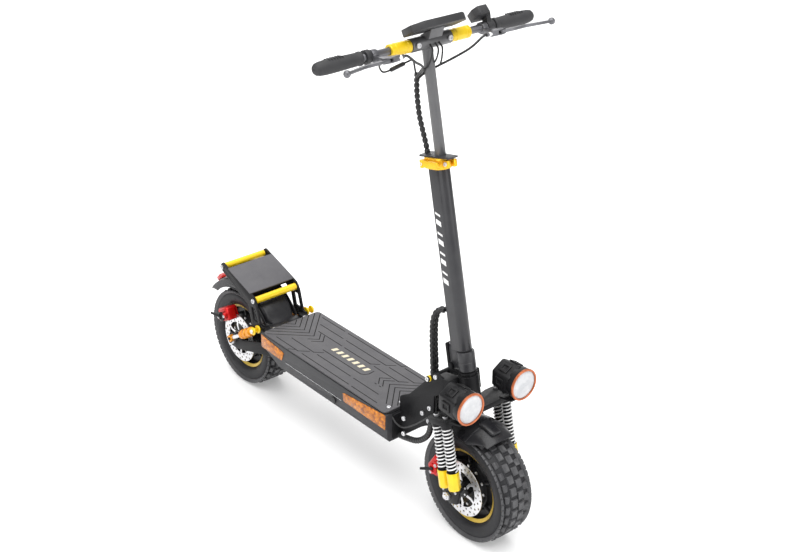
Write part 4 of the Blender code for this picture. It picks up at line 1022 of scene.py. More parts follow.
def bent_shell(name, centre, radius, start, end, half_width, crown, drop, thickness, material, body, steps=40,
        replaces=()):
    """A grid wrapped round an axle from start to end degrees, crowned across and dropped at its edges."""
    rest_selection()
    bpy.ops.mesh.primitive_grid_add(x_subdivisions=steps, y_subdivisions=22, size=2.0)
    piece = bpy.context.object
    for vertex in piece.data.vertices:
        along, across = (vertex.co.x + 1) / 2, vertex.co.y
        angle = math.radians(start + (end - start) * along)
        edge = abs(across)
        fullness = math.sin(math.pi * along) ** 0.35 if 0 < along < 1 else 0.0
        rolled = max(0.0, edge - ROLL_FROM) / (1 - ROLL_FROM)
        reach = radius + crown * (1 - edge**2) - drop * rolled
        width = half_width * (END_WIDTH + (1 - END_WIDTH) * fullness)
        vertex.co = centre + Vector((reach * math.cos(angle), across * width, reach * math.sin(angle)))
    thicken(piece, thickness)
    return put(piece, name, material, body, bevel=thickness * 0.3, replaces=replaces)


print("shell bender ready")

# %% Front mudguard
GUARD_TOP, GUARD_LOW, GUARD_REAR_LOW, GUARD_ARCH, GUARD_WALL = 0.1462, 0.1400, 0.1230, 2.3, 0.0024


def shape_guard(piece, centre, start, end):
    """Turns a flat grid into a peaked cap: full arch behind, drawn out to a straight lip in front."""
    for vertex in piece.data.vertices:
        along, across = (vertex.co.x + 1) / 2, vertex.co.y
        angle = math.radians(start + (end - start) * along)
        arch = min(1.0, along / 0.34)
        arch = arch * arch * (3 - 2 * arch)
        low = GUARD_LOW - (GUARD_LOW - GUARD_REAR_LOW) * arch
        reach = low + (GUARD_TOP - low) * (1 - abs(across) ** GUARD_ARCH)
        width = 0.0440 + 0.0130 * arch - 0.006 * (1 - arch) * abs(across)
        vertex.co = centre + Vector((reach * math.cos(angle), across * width, reach * math.sin(angle)))


guard_centre = FRONT_AXLE + Vector((0.002, 0, 0.0095))
rest_selection()
bpy.ops.mesh.primitive_grid_add(x_subdivisions=44, y_subdivisions=26, size=2.0)
guard = bpy.context.object
shape_guard(guard, guard_centre, 62, 122)
thicken(guard, GUARD_WALL)
put(guard, "front_mudguard", gloss_shell, "fork_lower", bevel=0.0006, replaces=("front_fender",))
print("front mudguard made")

# %% Its rib, boss and stays
rib_points = []
rib_angle, rib_low = math.radians(83), 0.1235
for step in range(25):
    across = -1 + step / 12
    reach = rib_low + (GUARD_TOP - rib_low) * (1 - abs(across) ** GUARD_ARCH) + 0.0010
    rib_points.append(guard_centre + Vector((reach * math.cos(rib_angle), across * 0.0568,
        reach * math.sin(rib_angle))))
cord("mudguard_rib", rib_points, 0.0014, body="fork_lower", material=gloss_shell)
boss_angle = math.radians(77)
boss_out = Vector((math.cos(boss_angle), 0, math.sin(boss_angle)))
boss_turn = Matrix.Translation(guard_centre + boss_out * 0.1452) @ Matrix.Rotation(math.pi / 2 - boss_angle, 4, "Y")
boss = flat_plate([(0.020, -0.013), (0.022, -0.009), (0.022, 0.009), (0.020, 0.013), (-0.022, 0.015),
    (-0.022, -0.015)], -0.004, 0.0092, boss_turn)
put(boss, "mudguard_boss", gloss_shell, "fork_lower", bevel=0.0038)
for name, side in SIDES.items():
    stay = side_plate([(0.374, 0.262), (0.388, 0.268), (0.413, 0.204), (0.399, 0.200)], side * 0.0560, side * 0.0580)
    put(stay, "mudguard_stay_" + name, black_powder, "fork_lower", bevel=0.0006)
    foot = side_plate([(0.398, 0.198), (0.412, 0.202), (0.4105, 0.206), (0.3965, 0.202)], side * 0.0562,
        side * (LEG_SIDE - 0.0120))
    put(foot, "mudguard_foot_" + name, black_powder, "fork_lower", bevel=0.0006)
print("rib, boss and stays made")

# %% [markdown]
# ## Rear mudguard and tail light
# The rear mudguard is glossy moulded plastic with rolled lips. It wraps the wheel from the rack down to a
# tail that carries the red light. It is bent in the same way, with more steps for its longer arc.

# %% Rear mudguard
rear_centre = REAR_AXLE + Vector((0, 0, 0.005))
bent_shell("rear_mudguard", rear_centre, 0.1560, 31, 146, 0.0495, 0.0038, 0.012, 0.0022, gloss_shell, "frame", 60,
           replaces=("rear_fender",))


def wall_arc(radius, start, end, steps=28):
    angles = [math.radians(start + (end - start) * n / steps) for n in range(steps + 1)]
    return [(rear_centre.x + radius * math.cos(a), rear_centre.z + radius * math.sin(a)) for a in angles]


for name, side in SIDES.items():
    wall = side_plate(wall_arc(0.1555, 31, 143) + wall_arc(0.1360, 134, 38), side * 0.0466, side * 0.0488)
    put(wall, "rear_mudguard_wall_" + name, gloss_shell, "frame", bevel=0.0006)
    lip = [Vector((x, side * 0.0488, z)) for x, z in wall_arc(0.1362, 38, 134, 12)]
    cord("rear_mudguard_lip_" + name, lip, 0.0013, body="frame", material=gloss_shell)
foot = side_plate([(-0.2935, 0.2130), (-0.2756, 0.2130), (-0.2756, 0.2185), (-0.3040, 0.2250), (-0.3060, 0.2180)],
    -0.046, 0.046)
put(foot, "rear_mudguard_foot", gloss_shell, "frame", bevel=0.0008)
light_angle = math.radians(134)
outward = Vector((math.cos(light_angle), 0, math.sin(light_angle)))
housing = turned([(0, 0), (0.0060, 0), (0.0060, 0.002), (0, 0.003)], rear_centre + outward * 0.1735, outward, 24)
put(housing, "taillight_lamp", milk_lens, "frame")
print("rear mudguard made")

# %% [markdown]
# ## Headlamps
# Each lamp is a squat drum with a copper-coloured trim ring, a milky lens set just inside it, cooling fins
# behind and raised square frames round the drum. The body, ring and lens are spun, and the frames are one
# framed block copied round the drum.

# %% Lamp section and window frame
LAMP_DRUM = (
    (0.0, -0.0440), (0.0140, -0.0440), (0.0165, -0.0430), (0.0200, -0.0390), (0.0200, -0.0365), (0.0245, -0.0345),
    (0.0245, -0.0320), (0.0280, -0.0300), (0.0280, -0.0270), (0.0305, -0.0245), (0.0305, -0.0210), (0.0322, -0.0190),
    (0.0328, -0.0140), (0.0332, 0.0140), (0.0350, 0.0165), (0.0365, 0.0300), (0.0366, 0.0350), (0.0340, 0.0358),
    (0.0335, 0.0300), (0.0, 0.0298),
)


def window_frame(place):
    """A raised square frame with a sunk middle."""
    piece = block((-0.0120, -0.0105, 0.0), (0.0120, 0.0105, 0.0042), place)
    sunk_face(piece, lambda face: face.center.z, 0.0048, 0.0006, 0.0030)
    return piece


print("lamp section ready")

# %% Headlamps
LAMP_FORWARD, LAMP_ACROSS, LAMP_UP = 0.455, 0.0781, 0.3757
for name, side in SIDES.items():
    middle = Vector((LAMP_FORWARD, side * LAMP_ACROSS, LAMP_UP))
    body = "lamp_" + name
    put(turned(LAMP_DRUM, middle, (1, 0, 0), 64), "lamp_drum_" + name, lamp_plastic, body,
        replaces=("headlamp_" + name,))
    shell = rod(middle + Vector((-0.0330, 0, 0)), middle + Vector((0.0220, 0, 0)), 0.0365, 6, 0.0392)
    put(shell, "lamp_shell_" + name, lamp_plastic, body, bevel=0.0035)
    ring = [(0.0325, 0.0), (0.0372, 0.0), (0.0374, 0.0008), (0.0372, 0.0030), (0.0360, 0.0042), (0.0336, 0.0042),
        (0.0325, 0.0030)]
    put(turned(ring, middle + Vector((0.0340, 0, 0)), (1, 0, 0), 72), "lamp_ring_" + name, copper_ring, body)
    glass = [(0.0, 0.0292), (0.0327, 0.0292), (0.0327, 0.0352), (0.0300, 0.0368), (0.0240, 0.0385), (0.0160, 0.0396),
        (0.0080, 0.0401), (0.0, 0.0402)]
    put(turned(glass, middle, (1, 0, 0), 64), "lamp_glass_" + name, milk_lens, body, replaces=("lamp_lens_" + name,))
    frames = []
    for step in range(6):
        turn = Matrix.Translation(middle) @ Matrix.Rotation(math.radians(60 * step + 30), 4, "X")
        one = window_frame(Matrix.Translation((-0.006, 0, 0.0318)))
        one.matrix_world = turn
        frames.append(one)
    put(joined(frames), "lamp_frames_" + name, lamp_plastic, body, bevel=0.0005)
    fins = [turned([(0.0, 0), (0.0235 - 0.003 * n, 0), (0.0235 - 0.003 * n, 0.0012), (0.0, 0.0012)],
                   middle + Vector((-0.0362 - 0.0030 * n, 0, 0)), (1, 0, 0), 40) for n in range(3)]
    put(joined(fins), "lamp_fins_" + name, lamp_plastic, body)
    strap = side_plate([(0.437, 0.3352), (0.473, 0.3352), (0.473, 0.3400), (0.437, 0.3400)], side * 0.0700,
        side * 0.0862)
    put(strap, "lamp_foot_plate_" + name, lamp_plastic, body, bevel=0.0008)
    cap_screw((LAMP_FORWARD - 0.0020, side * 0.0970, LAMP_UP), (0, side, 0), 0.0041, 0.0030,
        "lamp_side_screw_" + name, body)
    bolt_at = column_point(0.050, side * LAMP_ACROSS, -0.0985)
    hex_nut(bolt_at, -UP_COLUMN, 0.0062, 0.0050, "lamp_bolt_" + name, "steering")
    print("lamp", name, "made")

# %% [markdown]
# ## Steering stem
# The stem is a D-shaped tube with a satin black coat. Its lower end is a thick sleeve over the head tube with
# a pinch plate and three screws behind. Its flat sides carry a row of plain pale bars.

# %% Stem tube and sleeve
STEM_LOW, STEM_HIGH, STEM_HALF = 0.030, 0.4388, 0.0165
MAST_FORWARD = -0.002


def stem_section(grow=0.0):
    """The tube's outline: round in front, flat behind with rounded corners."""
    half, corner, back = STEM_HALF + grow, 0.006, -0.0317 - grow
    front = [(MAST_FORWARD + half * math.cos(a),
        half * math.sin(a)) for a in (math.radians(-90 + 9 * n) for n in range(21))]
    rear = [
        (back + corner + corner * math.cos(math.radians(begin + 15 * n)),
        centre + corner * math.sin(math.radians(begin + 15 * n)))
        for centre, begin in ((half - corner, 90), (corner - half, 180))
        for n in range(7)
    ]
    return front + rear


put(flat_plate(stem_section(), STEM_LOW, STEM_HIGH, COLUMN), "stem_d_tube", stem_powder, "stem", bevel=0.0005,
    replaces=("stem_tube",))
sleeve = [(0.0, 0), (0.0188, 0), (0.0197, 0.0008), (0.0197, 0.0200), (0.0192, 0.0206), (0.0192, 0.0222),
    (0.0197, 0.0228),
          (0.0197, 0.0430), (0.0188, 0.0445), (0.0, 0.0450)]
put(turned(sleeve, column_point(0, 0, -0.0163), UP_COLUMN, 64), "stem_sleeve", stem_powder, "stem")
put(turned([(0.0, 0), (0.0222, 0), (0.0226, 0.0005), (0.0226, 0.0045), (0.0222, 0.0050), (0.0, 0.0050)],
    column_point(0, 0, -0.0325), UP_COLUMN, 64),
    "head_bearing_cap", black_powder, "frame")
hex_nut(column_point(0, 0, -0.0255), UP_COLUMN, 0.0212, 0.0060, "head_lock_nut", "steering", black_powder)
spine = side_plate([(-0.012, -0.0140), (-0.038, -0.0180), (-0.0475, -0.0120), (-0.0450, 0.030), (-0.034, 0.047),
    (-0.012, 0.047)], -0.0085, 0.0085, COLUMN)
put(spine, "stem_spine", stem_powder, "stem", bevel=0.0015)
for step, up in enumerate((0.004, 0.020, 0.036)):
    cap_screw(column_point(-0.0458 + 0.0006 * step, 0.0, up), -FORWARD_COLUMN, 0.0042, 0.0030, f"spine_screw_{step}",
        "stem")
print("stem made")

# %% Pale bars on the stem's flat sides
BAR_STEP, BAR_COUNT, BAR_START = 0.0220, 8, 0.180
stripes = []
for n in range(BAR_COUNT):
    low = BAR_START + BAR_STEP * n
    thick = 0.0045 if n % 2 else 0.0110
    outline = [(-0.0235, low + 0.0060), (-0.0085, low), (-0.0085, low + thick), (-0.0235, low + thick + 0.0060)]
    for side in SIDES.values():
        stripes.append(side_plate(outline, side * (STEM_HALF - 0.0003), side * (STEM_HALF + 0.0004), COLUMN))
put(joined(stripes), "stem_stripes", pale_print, "stem")
print("stripes made")

# %% [markdown]
# ## Height clamp
# A gold anodised collar closes round the mast with a cam lever. A thin dark plate on top guides the cables.
# The collar is the stem's outline grown by a few millimetres, grooved and pinched in front by an ear screw.

# %% Height clamp
CLAMP_LOW, CLAMP_HIGH = STEM_HIGH + 0.0003, 0.4664
put(flat_plate(stem_section(0.0045), CLAMP_LOW, CLAMP_HIGH - 0.0026, COLUMN), "clamp_collar", gold_anodised, "stem",
    bevel=0.0014, replaces=("height_clamp",))
groove = flat_plate(stem_section(0.0050), CLAMP_LOW + 0.0105, CLAMP_LOW + 0.0135, COLUMN)
put(groove, "clamp_groove_band", gold_anodised, "stem", bevel=0.0008)
top = flat_plate([(0.038, -0.014), (0.040, -0.010), (0.040, 0.010), (0.038, 0.014), (-0.050, 0.019), (-0.056, 0.013),
    (-0.056, -0.013), (-0.050, -0.019)],
                 CLAMP_HIGH - 0.0025, CLAMP_HIGH + 0.0005, COLUMN)
put(top, "clamp_top_plate", dark_powder, "stem", bevel=0.0008)
ear = side_plate([(0.010, CLAMP_LOW + 0.004), (0.034, CLAMP_LOW + 0.004), (0.034, CLAMP_HIGH - 0.006),
    (0.010, CLAMP_HIGH - 0.006)], 0.0040, 0.0135, COLUMN)
put(ear, "clamp_ear", gold_anodised, "stem", bevel=0.0020)
other_ear = side_plate([(0.010, CLAMP_LOW + 0.004), (0.032, CLAMP_LOW + 0.004), (0.032, CLAMP_HIGH - 0.006),
    (0.010, CLAMP_HIGH - 0.006)], -0.0120, -0.0030, COLUMN)
put(other_ear, "clamp_ear_right", gold_anodised, "stem", bevel=0.0020)
middle_up = (CLAMP_LOW + CLAMP_HIGH) / 2
cap_screw(column_point(0.0250, -0.0120, middle_up), (0, -1, 0), 0.0048, 0.0035, "clamp_ear_screw", "stem")
hex_nut(column_point(0.0250, 0.0135, middle_up), (0, 1, 0), 0.0050, 0.0030, "clamp_ear_nut", "stem")
cap_screw(column_point(-0.030, -0.0322, middle_up), (0, -1, 0), 0.0040, 0.0025, "clamp_cam_screw", "clamp_lever")
slot = side_plate([(-0.016, middle_up - 0.0035), (0.006, middle_up - 0.0035), (0.006, middle_up + 0.0035),
    (-0.016, middle_up + 0.0035)], -0.0226, -0.0214, COLUMN)
put(slot, "clamp_slot", lamp_plastic, "stem", bevel=0.0008)
print("clamp made")

# %% [markdown]
# ## Deck mat
# The foot mat is moulded rubber with long kinked grooves, nested chevrons at both ends and a plain raised
# badge. It starts as an outline with rounded corners. All grooves are cut by one Boolean from thin bars, and
# a near-black strip lies in each as painted shade, standing in for the shade that falls into a real groove.

# %% Mat outline
MAT_REAR, MAT_FRONT, MAT_HALF, MAT_LOW, MAT_TOP = -0.2655, 0.2175, 0.0872, 0.2326, 0.2366


def rounded_outline(low_x, high_x, half, corner):
    points = []
    for x, y, begin in ((high_x - corner, half - corner, 0), (low_x + corner, half - corner, 90),
                        (low_x + corner, corner - half, 180), (high_x - corner, corner - half, 270)):
        for n in range(5):
            angle = math.radians(begin + 22.5 * n)
            points.append((x + corner * math.cos(angle), y + corner * math.sin(angle)))
    return points


print("mat sizes ready")

# %% The lines that the grooves follow
LANES = (0.0235, 0.0485, 0.0745)
GROOVES = [
    # rear lanes, kinked middle lanes, front lanes: each is a run of (x, y) points
    [(-0.179, LANES[0]), (-0.085, LANES[0])], [(-0.204, LANES[1]), (-0.112, LANES[1])],
    [(-0.230, LANES[2]), (-0.138, LANES[2])],
    [(-0.073, LANES[0]), (0.028, LANES[0]), (0.044, 0.0395)], [(-0.098, LANES[1]), (0.056, LANES[1]),
    (0.073, 0.0655)],
    [(-0.123, LANES[2]), (0.0855, LANES[2]), (0.097, 0.086)],
    [(0.043, LANES[0]), (0.134, LANES[0]), (0.150, 0.0395)], [(0.070, LANES[1]), (0.161, LANES[1]), (0.179, 0.0665)],
    [(0.098, LANES[2]), (0.192, LANES[2])],
    [(-0.224, -LANES[2]), (-0.134, -LANES[2]), (-0.114, -0.0545)],
    [(-0.195, -LANES[1]), (-0.104, -LANES[1]), (-0.087, -0.0315)],
    [(-0.157, -0.0865), (-0.143, -0.0745)],
    [(-0.117, -LANES[2]), (0.067, -LANES[2])], [(-0.089, -LANES[1]), (0.041, -LANES[1])],
    [(-0.099, -LANES[0]), (0.049, -LANES[0]), (0.058, -0.018), (0.062, -0.008), (0.060, 0.008)],
    [(0.0535, -LANES[1]), (0.146, -LANES[1])], [(0.079, -LANES[2]), (0.172, -LANES[2])],
    [(0.103, -LANES[0]), (0.108, -LANES[0])], [(0.120, -LANES[0]), (0.125, -LANES[0])],
]
REAR_CHEVRONS = [(-0.2468, 0.030), (-0.2280, 0.045), (-0.2082, 0.064), (-0.1884, 0.080), (-0.1679, 0.083),
    (-0.1458, 0.020), (-0.1307, 0.020)]
FRONT_CHEVRONS = [(0.0921, 0.018), (0.1074, 0.018), (0.1294, 0.060), (0.1487, 0.058), (0.1672, 0.045),
    (0.1864, 0.025)]
for apex, reach in REAR_CHEVRONS:
    reach = min(reach, apex + 0.2630) if apex - reach < -0.2630 else reach
    GROOVES.append([(apex - reach, -reach), (apex, 0.0), (apex - reach, reach)])
for apex, reach in FRONT_CHEVRONS:
    reach = min(reach, 0.2150 - apex)
    GROOVES.append([(apex + reach, -reach), (apex, 0.0), (apex + reach, reach)])


print(len(GROOVES), "grooves planned")

# %% Mat with its grooves cut
def groove_bars(low, high, width):
    """A thin bar along each stretch of every groove."""
    bars = []
    for run in GROOVES:
        for (x1, y1), (x2, y2) in zip(run, run[1:]):
            along = math.atan2(y2 - y1, x2 - x1)
            length = math.hypot(x2 - x1, y2 - y1)
            turn = Matrix.Translation(((x1 + x2) / 2, (y1 + y2) / 2, 0)) @ Matrix.Rotation(along, 4, "Z")
            extra = width / 2
            bars.append(block((-length / 2 - extra, -width / 2, low), (length / 2 + extra, width / 2, high), turn))
    return joined(bars)


mat = flat_plate(rounded_outline(MAT_REAR, MAT_FRONT, MAT_HALF, 0.010), MAT_LOW, MAT_TOP)
settle(mat)
soften(mat, 0.0008)
cutters = groove_bars(MAT_TOP - 0.0014, MAT_TOP + 0.003, 0.0025)
cut(mat, cutters, use_self=True)
put(mat, "deck_mat_moulded", mat_rubber, "frame", replaces=("deck_mat",))
# A dark strip in each groove, as painted shade for the shade that falls into it.
put(groove_bars(MAT_TOP - 0.0016, MAT_TOP - 0.0003, 0.0023), "mat_groove_painted_shade", groove_painted_shade, "frame")
print("mat made with", len(GROOVES), "grooves")

# %% Badge, deck bolts, edge line and reflectors
badge = []
for n in range(7):
    x = -0.088 + 0.0205 * n
    badge.append(flat_plate([(x, -0.0078), (x + 0.0105, -0.0078), (x + 0.0150, 0.0072), (x + 0.0045, 0.0072)],
        MAT_TOP - 0.0004, MAT_TOP + 0.0003))
put(joined(badge), "mat_badge", cream_print, "frame")
for step, (x, y) in enumerate(((0.2060, -0.066), (0.2075, -0.031), (0.2060, 0.066), (0.2075, 0.031))):
    cap_screw((x, y, MAT_TOP - 0.0002), (0, 0, 1), 0.0050, 0.0030, f"mat_screw_{step}", "frame")
REFLECTOR_BACK, REFLECTOR_FACE = 0.0864, 0.0878
for name, side in SIDES.items():
    cap_screw((-0.2720, side * 0.0476, 0.2290), (0, 0, 1), 0.0042, 0.0030, "deck_rear_screw_" + name, "frame")
    edge = block((-0.170, side * 0.0868, 0.1899), (0.055, side * 0.0872, 0.1906))
    put(edge, "deck_edge_line_" + name, plain_steel, "frame")
    front = side_plate([(0.061, 0.2138), (0.0640, 0.1930), (0.2180, 0.1905), (0.2190, 0.2280), (0.2120, 0.2290),
        (0.0680, 0.2160)],
                       side * REFLECTOR_BACK, side * REFLECTOR_FACE)
    put(front, "reflector_front_" + name, amber_lens, "frame", bevel=0.0005)
    rear = side_plate([(-0.2730, 0.2270), (-0.2730, 0.1920), (-0.1870, 0.1898), (-0.1780, 0.2130), (-0.1830, 0.2160)],
        side * REFLECTOR_BACK, side * REFLECTOR_FACE)
    put(rear, "reflector_rear_" + name, amber_lens, "frame", bevel=0.0005)
print("deck details made")

# %% [markdown]
# ## Neck bolts
# The folding joint is held by zinc bolts through two cheek plates, with a long pin across the top that has
# yellow bushes and domed nuts. They are turned or six-sided pieces set at the places where real bolts go.

# %% Neck bolts and bushes
CHEEK_FACE, NECK_FOOT_FACE = 0.0462, 0.0676
NECK_BOLTS = (
    (0.301, 0.261, CHEEK_FACE), (0.325, 0.285, CHEEK_FACE), (0.322, 0.250, CHEEK_FACE), (0.343, 0.374, CHEEK_FACE),
    (0.262, 0.236, NECK_FOOT_FACE), (0.262, 0.196, NECK_FOOT_FACE),
)
for name, side in SIDES.items():
    for step, (x, z, y) in enumerate(NECK_BOLTS):
        cap_screw((x, side * y, z), (0, side, 0), 0.0056, 0.0036, f"neck_bolt_{name}_{step}", "frame")
    pin = Vector((0.323, side * CHEEK_FACE, 0.362))
    put(turned([(0, 0), (0.0068, 0), (0.0072, 0.0005), (0.0072, 0.0040), (0.0066, 0.0046), (0, 0.0046)], pin,
        (0, side, 0), 32),
        "neck_bush_" + name, yellow_anodised, "frame")
    hex_nut(pin + Vector((0, side * 0.0046, 0)), (0, side, 0), 0.0058, 0.0050, "neck_pin_nut_" + name, "frame")
cap_screw((0.352, 0.0, 0.3560), (0, 0, 1), 0.0050, 0.0040, "neck_latch_screw", "frame")
print("neck bolts made")

# %% [markdown]
# ## Rack and rear shocks
# Two yellow anodised bars join the rack's side plates, each held by a zinc screw at both ends. The shocks
# are amber tubes with stepped rings, a forked yellow eye in front and a bright rod behind.

# %% Rack bars
for spot, x, z in (("rear", -0.4704, 0.3338), ("front", -0.3313, 0.2905)):
    profile = [(0, 0), (0.0072, 0), (0.0090, 0.0010), (0.0090, 0.1250), (0.0072, 0.1260), (0, 0.1260)]
    put(turned(profile, (x, -0.0630, z), (0, 1, 0), 48), "rack_tube_" + spot, yellow_anodised, "frame",
        replaces=("rack_bar_" + spot,))
    for name, side in SIDES.items():
        cap_screw((x, side * 0.0688, z), (0, side, 0), 0.0066, 0.0032, f"rack_screw_{spot}_{name}", "frame")
overlay = side_plate([(-0.4425, 0.3412), (-0.3440, 0.3084), (-0.3440, 0.3055), (-0.4425, 0.3383)], -0.0694, 0.0694)
put(overlay, "rack_top_plate", plate_powder, "frame", bevel=0.0008)
print("rack bars made")

# %% Shocks
SHOCK_FRONT_AT, SHOCK_REAR_AT, SHOCK_Y = Vector((-0.303, 0, 0.2245)), Vector((-0.418, 0, 0.1515)), 0.0845
SHOCK_LINE = (SHOCK_REAR_AT - SHOCK_FRONT_AT).normalized()
BODY_PROFILE = ((0, 0.012), (0.0085, 0.012), (0.0100, 0.0135), (0.0100, 0.0200), (0.0125, 0.0210), (0.0125, 0.0270),
    (0.0115, 0.0280),
                (0.0115, 0.0410), (0.0132, 0.0420), (0.0132, 0.0450), (0.0118, 0.0460), (0.0118, 0.0590),
                (0.0130, 0.0600),
                (0.0130, 0.0640), (0.0112, 0.0655), (0.0112, 0.0740), (0.0095, 0.0760), (0, 0.0760))
for name, side in SIDES.items():
    across = Vector((0, side * SHOCK_Y, 0))
    front_eye = SHOCK_FRONT_AT + across
    rear_eye = SHOCK_REAR_AT + across
    put(turned(BODY_PROFILE, front_eye, SHOCK_LINE, 48), "shock_tube_" + name, amber_anodised, "shock_" + name,
        replaces=("shock_body_" + name,))
    forks = [turned([(0, -0.0020), (0.0098, -0.0020), (0.0104, -0.0012), (0.0104, 0.0012), (0.0098, 0.0020),
        (0, 0.0020)],
                    front_eye + Vector((0, shift, 0)), (0, 1, 0), 32) for shift in (-0.0075, 0.0075)]
    forks += [rod(front_eye + Vector((0, shift, 0)) + SHOCK_LINE * 0.004,
        front_eye + Vector((0, shift * 0.6, 0)) + SHOCK_LINE * 0.016, 0.0055, 20) for shift in (-0.0075, 0.0075)]
    put(joined(forks), "shock_clevis_" + name, yellow_anodised, "shock_" + name, bevel=0.0004)
    hex_nut(front_eye + Vector((0, side * 0.0100, 0)), (0, side, 0), 0.0058, 0.0038, "shock_pin_nut_" + name,
        "shock_" + name)
    rod_part = rod(front_eye + SHOCK_LINE * 0.0680, rear_eye - SHOCK_LINE * 0.006, 0.0050, 32)
    put(rod_part, "shock_shaft_" + name, plain_steel, "shock_rod_" + name, bevel=0.0004,
        replaces=("shock_rod_" + name,))
    eye = turned([(0, -0.0060), (0.0085, -0.0060), (0.0092, -0.0052), (0.0092, 0.0052), (0.0085, 0.0060),
        (0, 0.0060)], rear_eye, (0, 1, 0), 32)
    put(eye, "shock_eye_" + name, amber_anodised, "shock_rod_" + name)
print("shocks made")

# %% [markdown]
# ## Handlebar
# The bars are satin tubes. Yellow collars slide out to unlock them. The grips are soft rubber with a round
# end and raised ribs, so they are turned from a profile, and the ribs are short bars across the palm.

# %% Collars and grips
LEVER_FORWARD, LEVER_DROP = 0.058, 0.0075
COLLAR_START, GRIP_START = 0.0545, 0.1800


def bar_point(forward, across, up=0.0):
    return column_point(BAR_FORWARD + forward, across, BAR_HEIGHT + up)


COLLAR = ((0.0088, 0), (0.0128, 0), (0.0138, 0.0012), (0.0138, 0.0090), (0.0130, 0.0100), (0.0130, 0.0125),
    (0.0140, 0.0135), (0.0140, 0.0400),
          (0.0130, 0.0410), (0.0130, 0.0435), (0.0138, 0.0445), (0.0138, 0.0520), (0.0128, 0.0532), (0.0088, 0.0532))
GRIP = ((0.0086, 0), (0.0135, 0), (0.0148, 0.0015), (0.0150, 0.0060), (0.0140, 0.0080), (0.0138, 0.0110),
    (0.0142, 0.0280), (0.0150, 0.0560),
        (0.0154, 0.0760), (0.0152, 0.0900), (0.0143, 0.1020), (0.0125, 0.1100), (0.0092, 0.1140), (0.0050, 0.1153),
        (0.0030, 0.1153), (0.0, 0.1120))
for name, side in SIDES.items():
    put(turned(COLLAR, bar_point(0, side * COLLAR_START), (0, side, 0), 48), "bar_collar_" + name, yellow_anodised,
        "collar_" + name, replaces=("collar_" + name,))
    put(turned(GRIP, bar_point(0, side * GRIP_START), (0, side, 0), 48), "hand_grip_" + name, grip_rubber,
        "bar_" + name, replaces=("grip_" + name,))
    ribs = []
    for n in range(6):
        at = GRIP_START + 0.0480 + 0.0065 * n
        ribs.append(block((-0.0105, side * at - 0.0013, 0.0100), (0.0105, side * at + 0.0013, 0.0158),
            COLUMN @ Matrix.Translation((BAR_FORWARD, 0, BAR_HEIGHT))))
    put(joined(ribs), "grip_ribs_" + name, grip_rubber, "bar_" + name, bevel=0.0010)
    adjuster = turned([(0, 0), (0.0040, 0), (0.0046, 0.0010), (0.0046, 0.0085), (0.0034, 0.0100), (0.0034, 0.0150),
        (0.0, 0.0150)],
                      column_point(LEVER_FORWARD, side * 0.1270, BAR_HEIGHT - LEVER_DROP), (0, -side, 0), 24)
    put(adjuster, "cable_adjuster_" + name, spring_white, "bar_" + name)
    cap_screw(bar_point(0.0175, side * 0.0430, -0.0005), (FORWARD_COLUMN.x, 0, FORWARD_COLUMN.z), 0.0058, 0.0032,
        "bar_clamp_screw_" + name, "mast")
print("handlebar made")

# %% [markdown]
# ## Cables
# The main loom leaves the bar clamp, gathers behind the mast in a black spiral wrap and goes into the clamp's
# top plate. Two wrapped leads run from the stem's back down into the neck, beside the latch, and a ribbed
# conduit feeds the fork. Each is a tube on a smooth curve whose radius steps to make the ribs.

# %% Loom and brake cables
WRAP_RIBS = (1.0, 1.0, 1.0, 0.66)
CONDUIT_RIBS = (1.0, 1.0, 0.78, 0.78)
GATHER = Vector((0.2140, 0.0, 1.0200))
HOLE = column_point(-0.0445, 0.0, 0.4680)
loom = cord("loom_wrap", [GATHER + Vector((0.001, 0, 0.012)), GATHER, (0.2155, 0.0, 0.985), (0.2240, 0.0, 0.940),
    (0.2400, 0.0, 0.898), HOLE + Vector((-0.003, 0, 0.012)), HOLE],
            0.0062, 0.0030, WRAP_RIBS, replaces=("cable_loom",))
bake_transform(loom)
for name, side in SIDES.items():
    start = column_point(LEVER_FORWARD, side * 0.1125, BAR_HEIGHT - LEVER_DROP)
    run = [start, start + Vector((0.0, -side * 0.010, -0.001)), Vector((0.2960, side * 0.075, 1.0930)),
        Vector((0.2790, side * 0.042, 1.0730)),
           Vector((0.2500, side * 0.017, 1.0500)), Vector((0.2240, side * 0.0075, 1.0300)),
           GATHER + Vector((0.0, side * 0.0025, -0.002))]
    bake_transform(cord("brake_cable_" + name, run, 0.0027))
print("loom and brake cables made")

# %% Wires at the bar clamp and the throttle
for step, (y, drop) in enumerate(((-0.010, 0.010), (0.004, 0.004), (0.014, 0.014))):
    run = [bar_point(0.014, y, -0.004), bar_point(0.021, y * 1.1, -0.018), Vector((0.2650, y * 1.3, 1.0740 - drop)),
        Vector((0.2400, y, 1.0480)), GATHER + Vector((0, y * 0.2, 0.004))]
    cord(f"clamp_wire_{step}", run, 0.0020, body="mast")
joiner = rod(Vector((0.2310, -0.0045, 1.0390)), Vector((0.2420, -0.0075, 1.0500)), 0.0042, 16)
put(joiner, "loom_joiner", cable_sleeve, "mast", bevel=0.0010)
loop = cord("throttle_wire", [(0.2720, -0.1480, 1.0960), (0.2600, -0.1388, 1.0860), (0.2500, -0.1217, 1.0700),
    (0.2480, -0.1000, 1.0690), (0.2420, -0.0514, 1.0745), (0.2320, -0.0270, 1.0700), (0.2180, -0.0080, 1.0400),
    GATHER], 0.0021)
plug = rod((0.2482, -0.1000, 1.0692), (0.2436, -0.0610, 1.0735), 0.0046, 16)
put(plug, "throttle_wire_joint", cable_sleeve, None, bevel=0.0012)
for piece in (loop, plug):
    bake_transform(piece)
print("wires made")

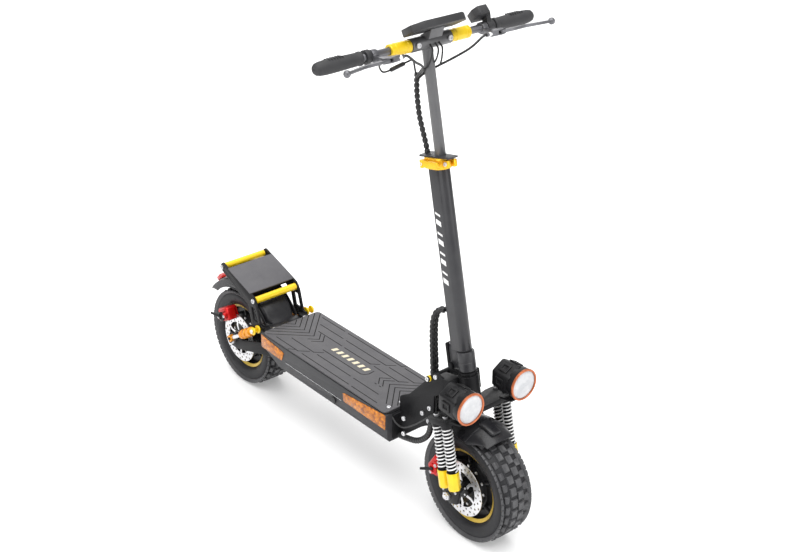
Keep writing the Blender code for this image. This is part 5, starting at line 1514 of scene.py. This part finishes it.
# %% Stem leads
EXIT = column_point(-0.0360, 0.0, 0.1180)
BEND = Vector((0.3085, 0.0, 0.3900))
for step, (y, exit_y) in enumerate(((-0.0148, -0.0060), (-0.0262, -0.0150))):
    side_by = Vector((0, y, 0))
    leaving = Vector((0, exit_y, 0))
    upper = cord(f"stem_lead_upper_{step}", [EXIT + leaving, (0.3150, 0.5 * (y + exit_y), 0.5190),
        (0.3065, y, 0.4920), (0.3055, y, 0.4400), BEND + side_by],
                 0.0056, 0.0030, WRAP_RIBS, replaces=("stem_cable",) if step == 0 else ())
    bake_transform(upper)
    lower = cord(f"stem_lead_lower_{step}", [BEND + side_by, (0.3100, y, 0.3550), (0.3100, y, 0.3200),
        (0.3070, y, 0.2850), (0.3030, y, 0.2505)],
                 0.0056, 0.0030, WRAP_RIBS)
    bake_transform(lower)
print("stem leads made")

# %% Motor conduit and brake hose
conduit = cord("motor_conduit_ribbed", [(0.2240, -0.0520, 0.1680), (0.2520, -0.0540, 0.1740),
    (0.2975, -0.0560, 0.1900), (0.3346, -0.0590, 0.2250), (0.3530, -0.0660, 0.2700)],
               0.0072, 0.0024, CONDUIT_RIBS, replaces=("motor_conduit",))
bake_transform(conduit)
hose = cord("brake_hose", [(0.2224, -0.0690, 0.2200), (0.2400, -0.0715, 0.2130), (0.2650, -0.0715, 0.2150),
    (0.3014, -0.0700, 0.2400), (0.3450, -0.0690, 0.2800)], 0.0020)
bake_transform(hose)
print("conduit and hose made")

# %% [markdown]
# ## Floor and last steps
# The floor is a wide pale sheet that the wheels and the stand rest on. A little light of its own keeps it
# white. The last cell clears the selection.

# %% Floor
rest_selection()
bpy.ops.mesh.primitive_plane_add(size=14.0, location=(0, 0, -0.0005))
floor = bpy.context.object
floor.name = floor.data.name = "studio_floor"
floor_paint = bpy.data.materials.new("studio_floor")
floor_paint.use_nodes = True
floor_shader = floor_paint.node_tree.nodes["Principled BSDF"]
floor_shader.inputs["Base Color"].default_value = (0.72, 0.72, 0.72, 1.0)
floor_shader.inputs["Roughness"].default_value = 0.9
floor_shader.inputs["Emission Color"].default_value = (1.0, 1.0, 1.0, 1.0)
floor_shader.inputs["Emission Strength"].default_value = 0.22
floor.data.materials.append(floor_paint)
print("floor laid")

# %% Clearing the selection
rest_selection()
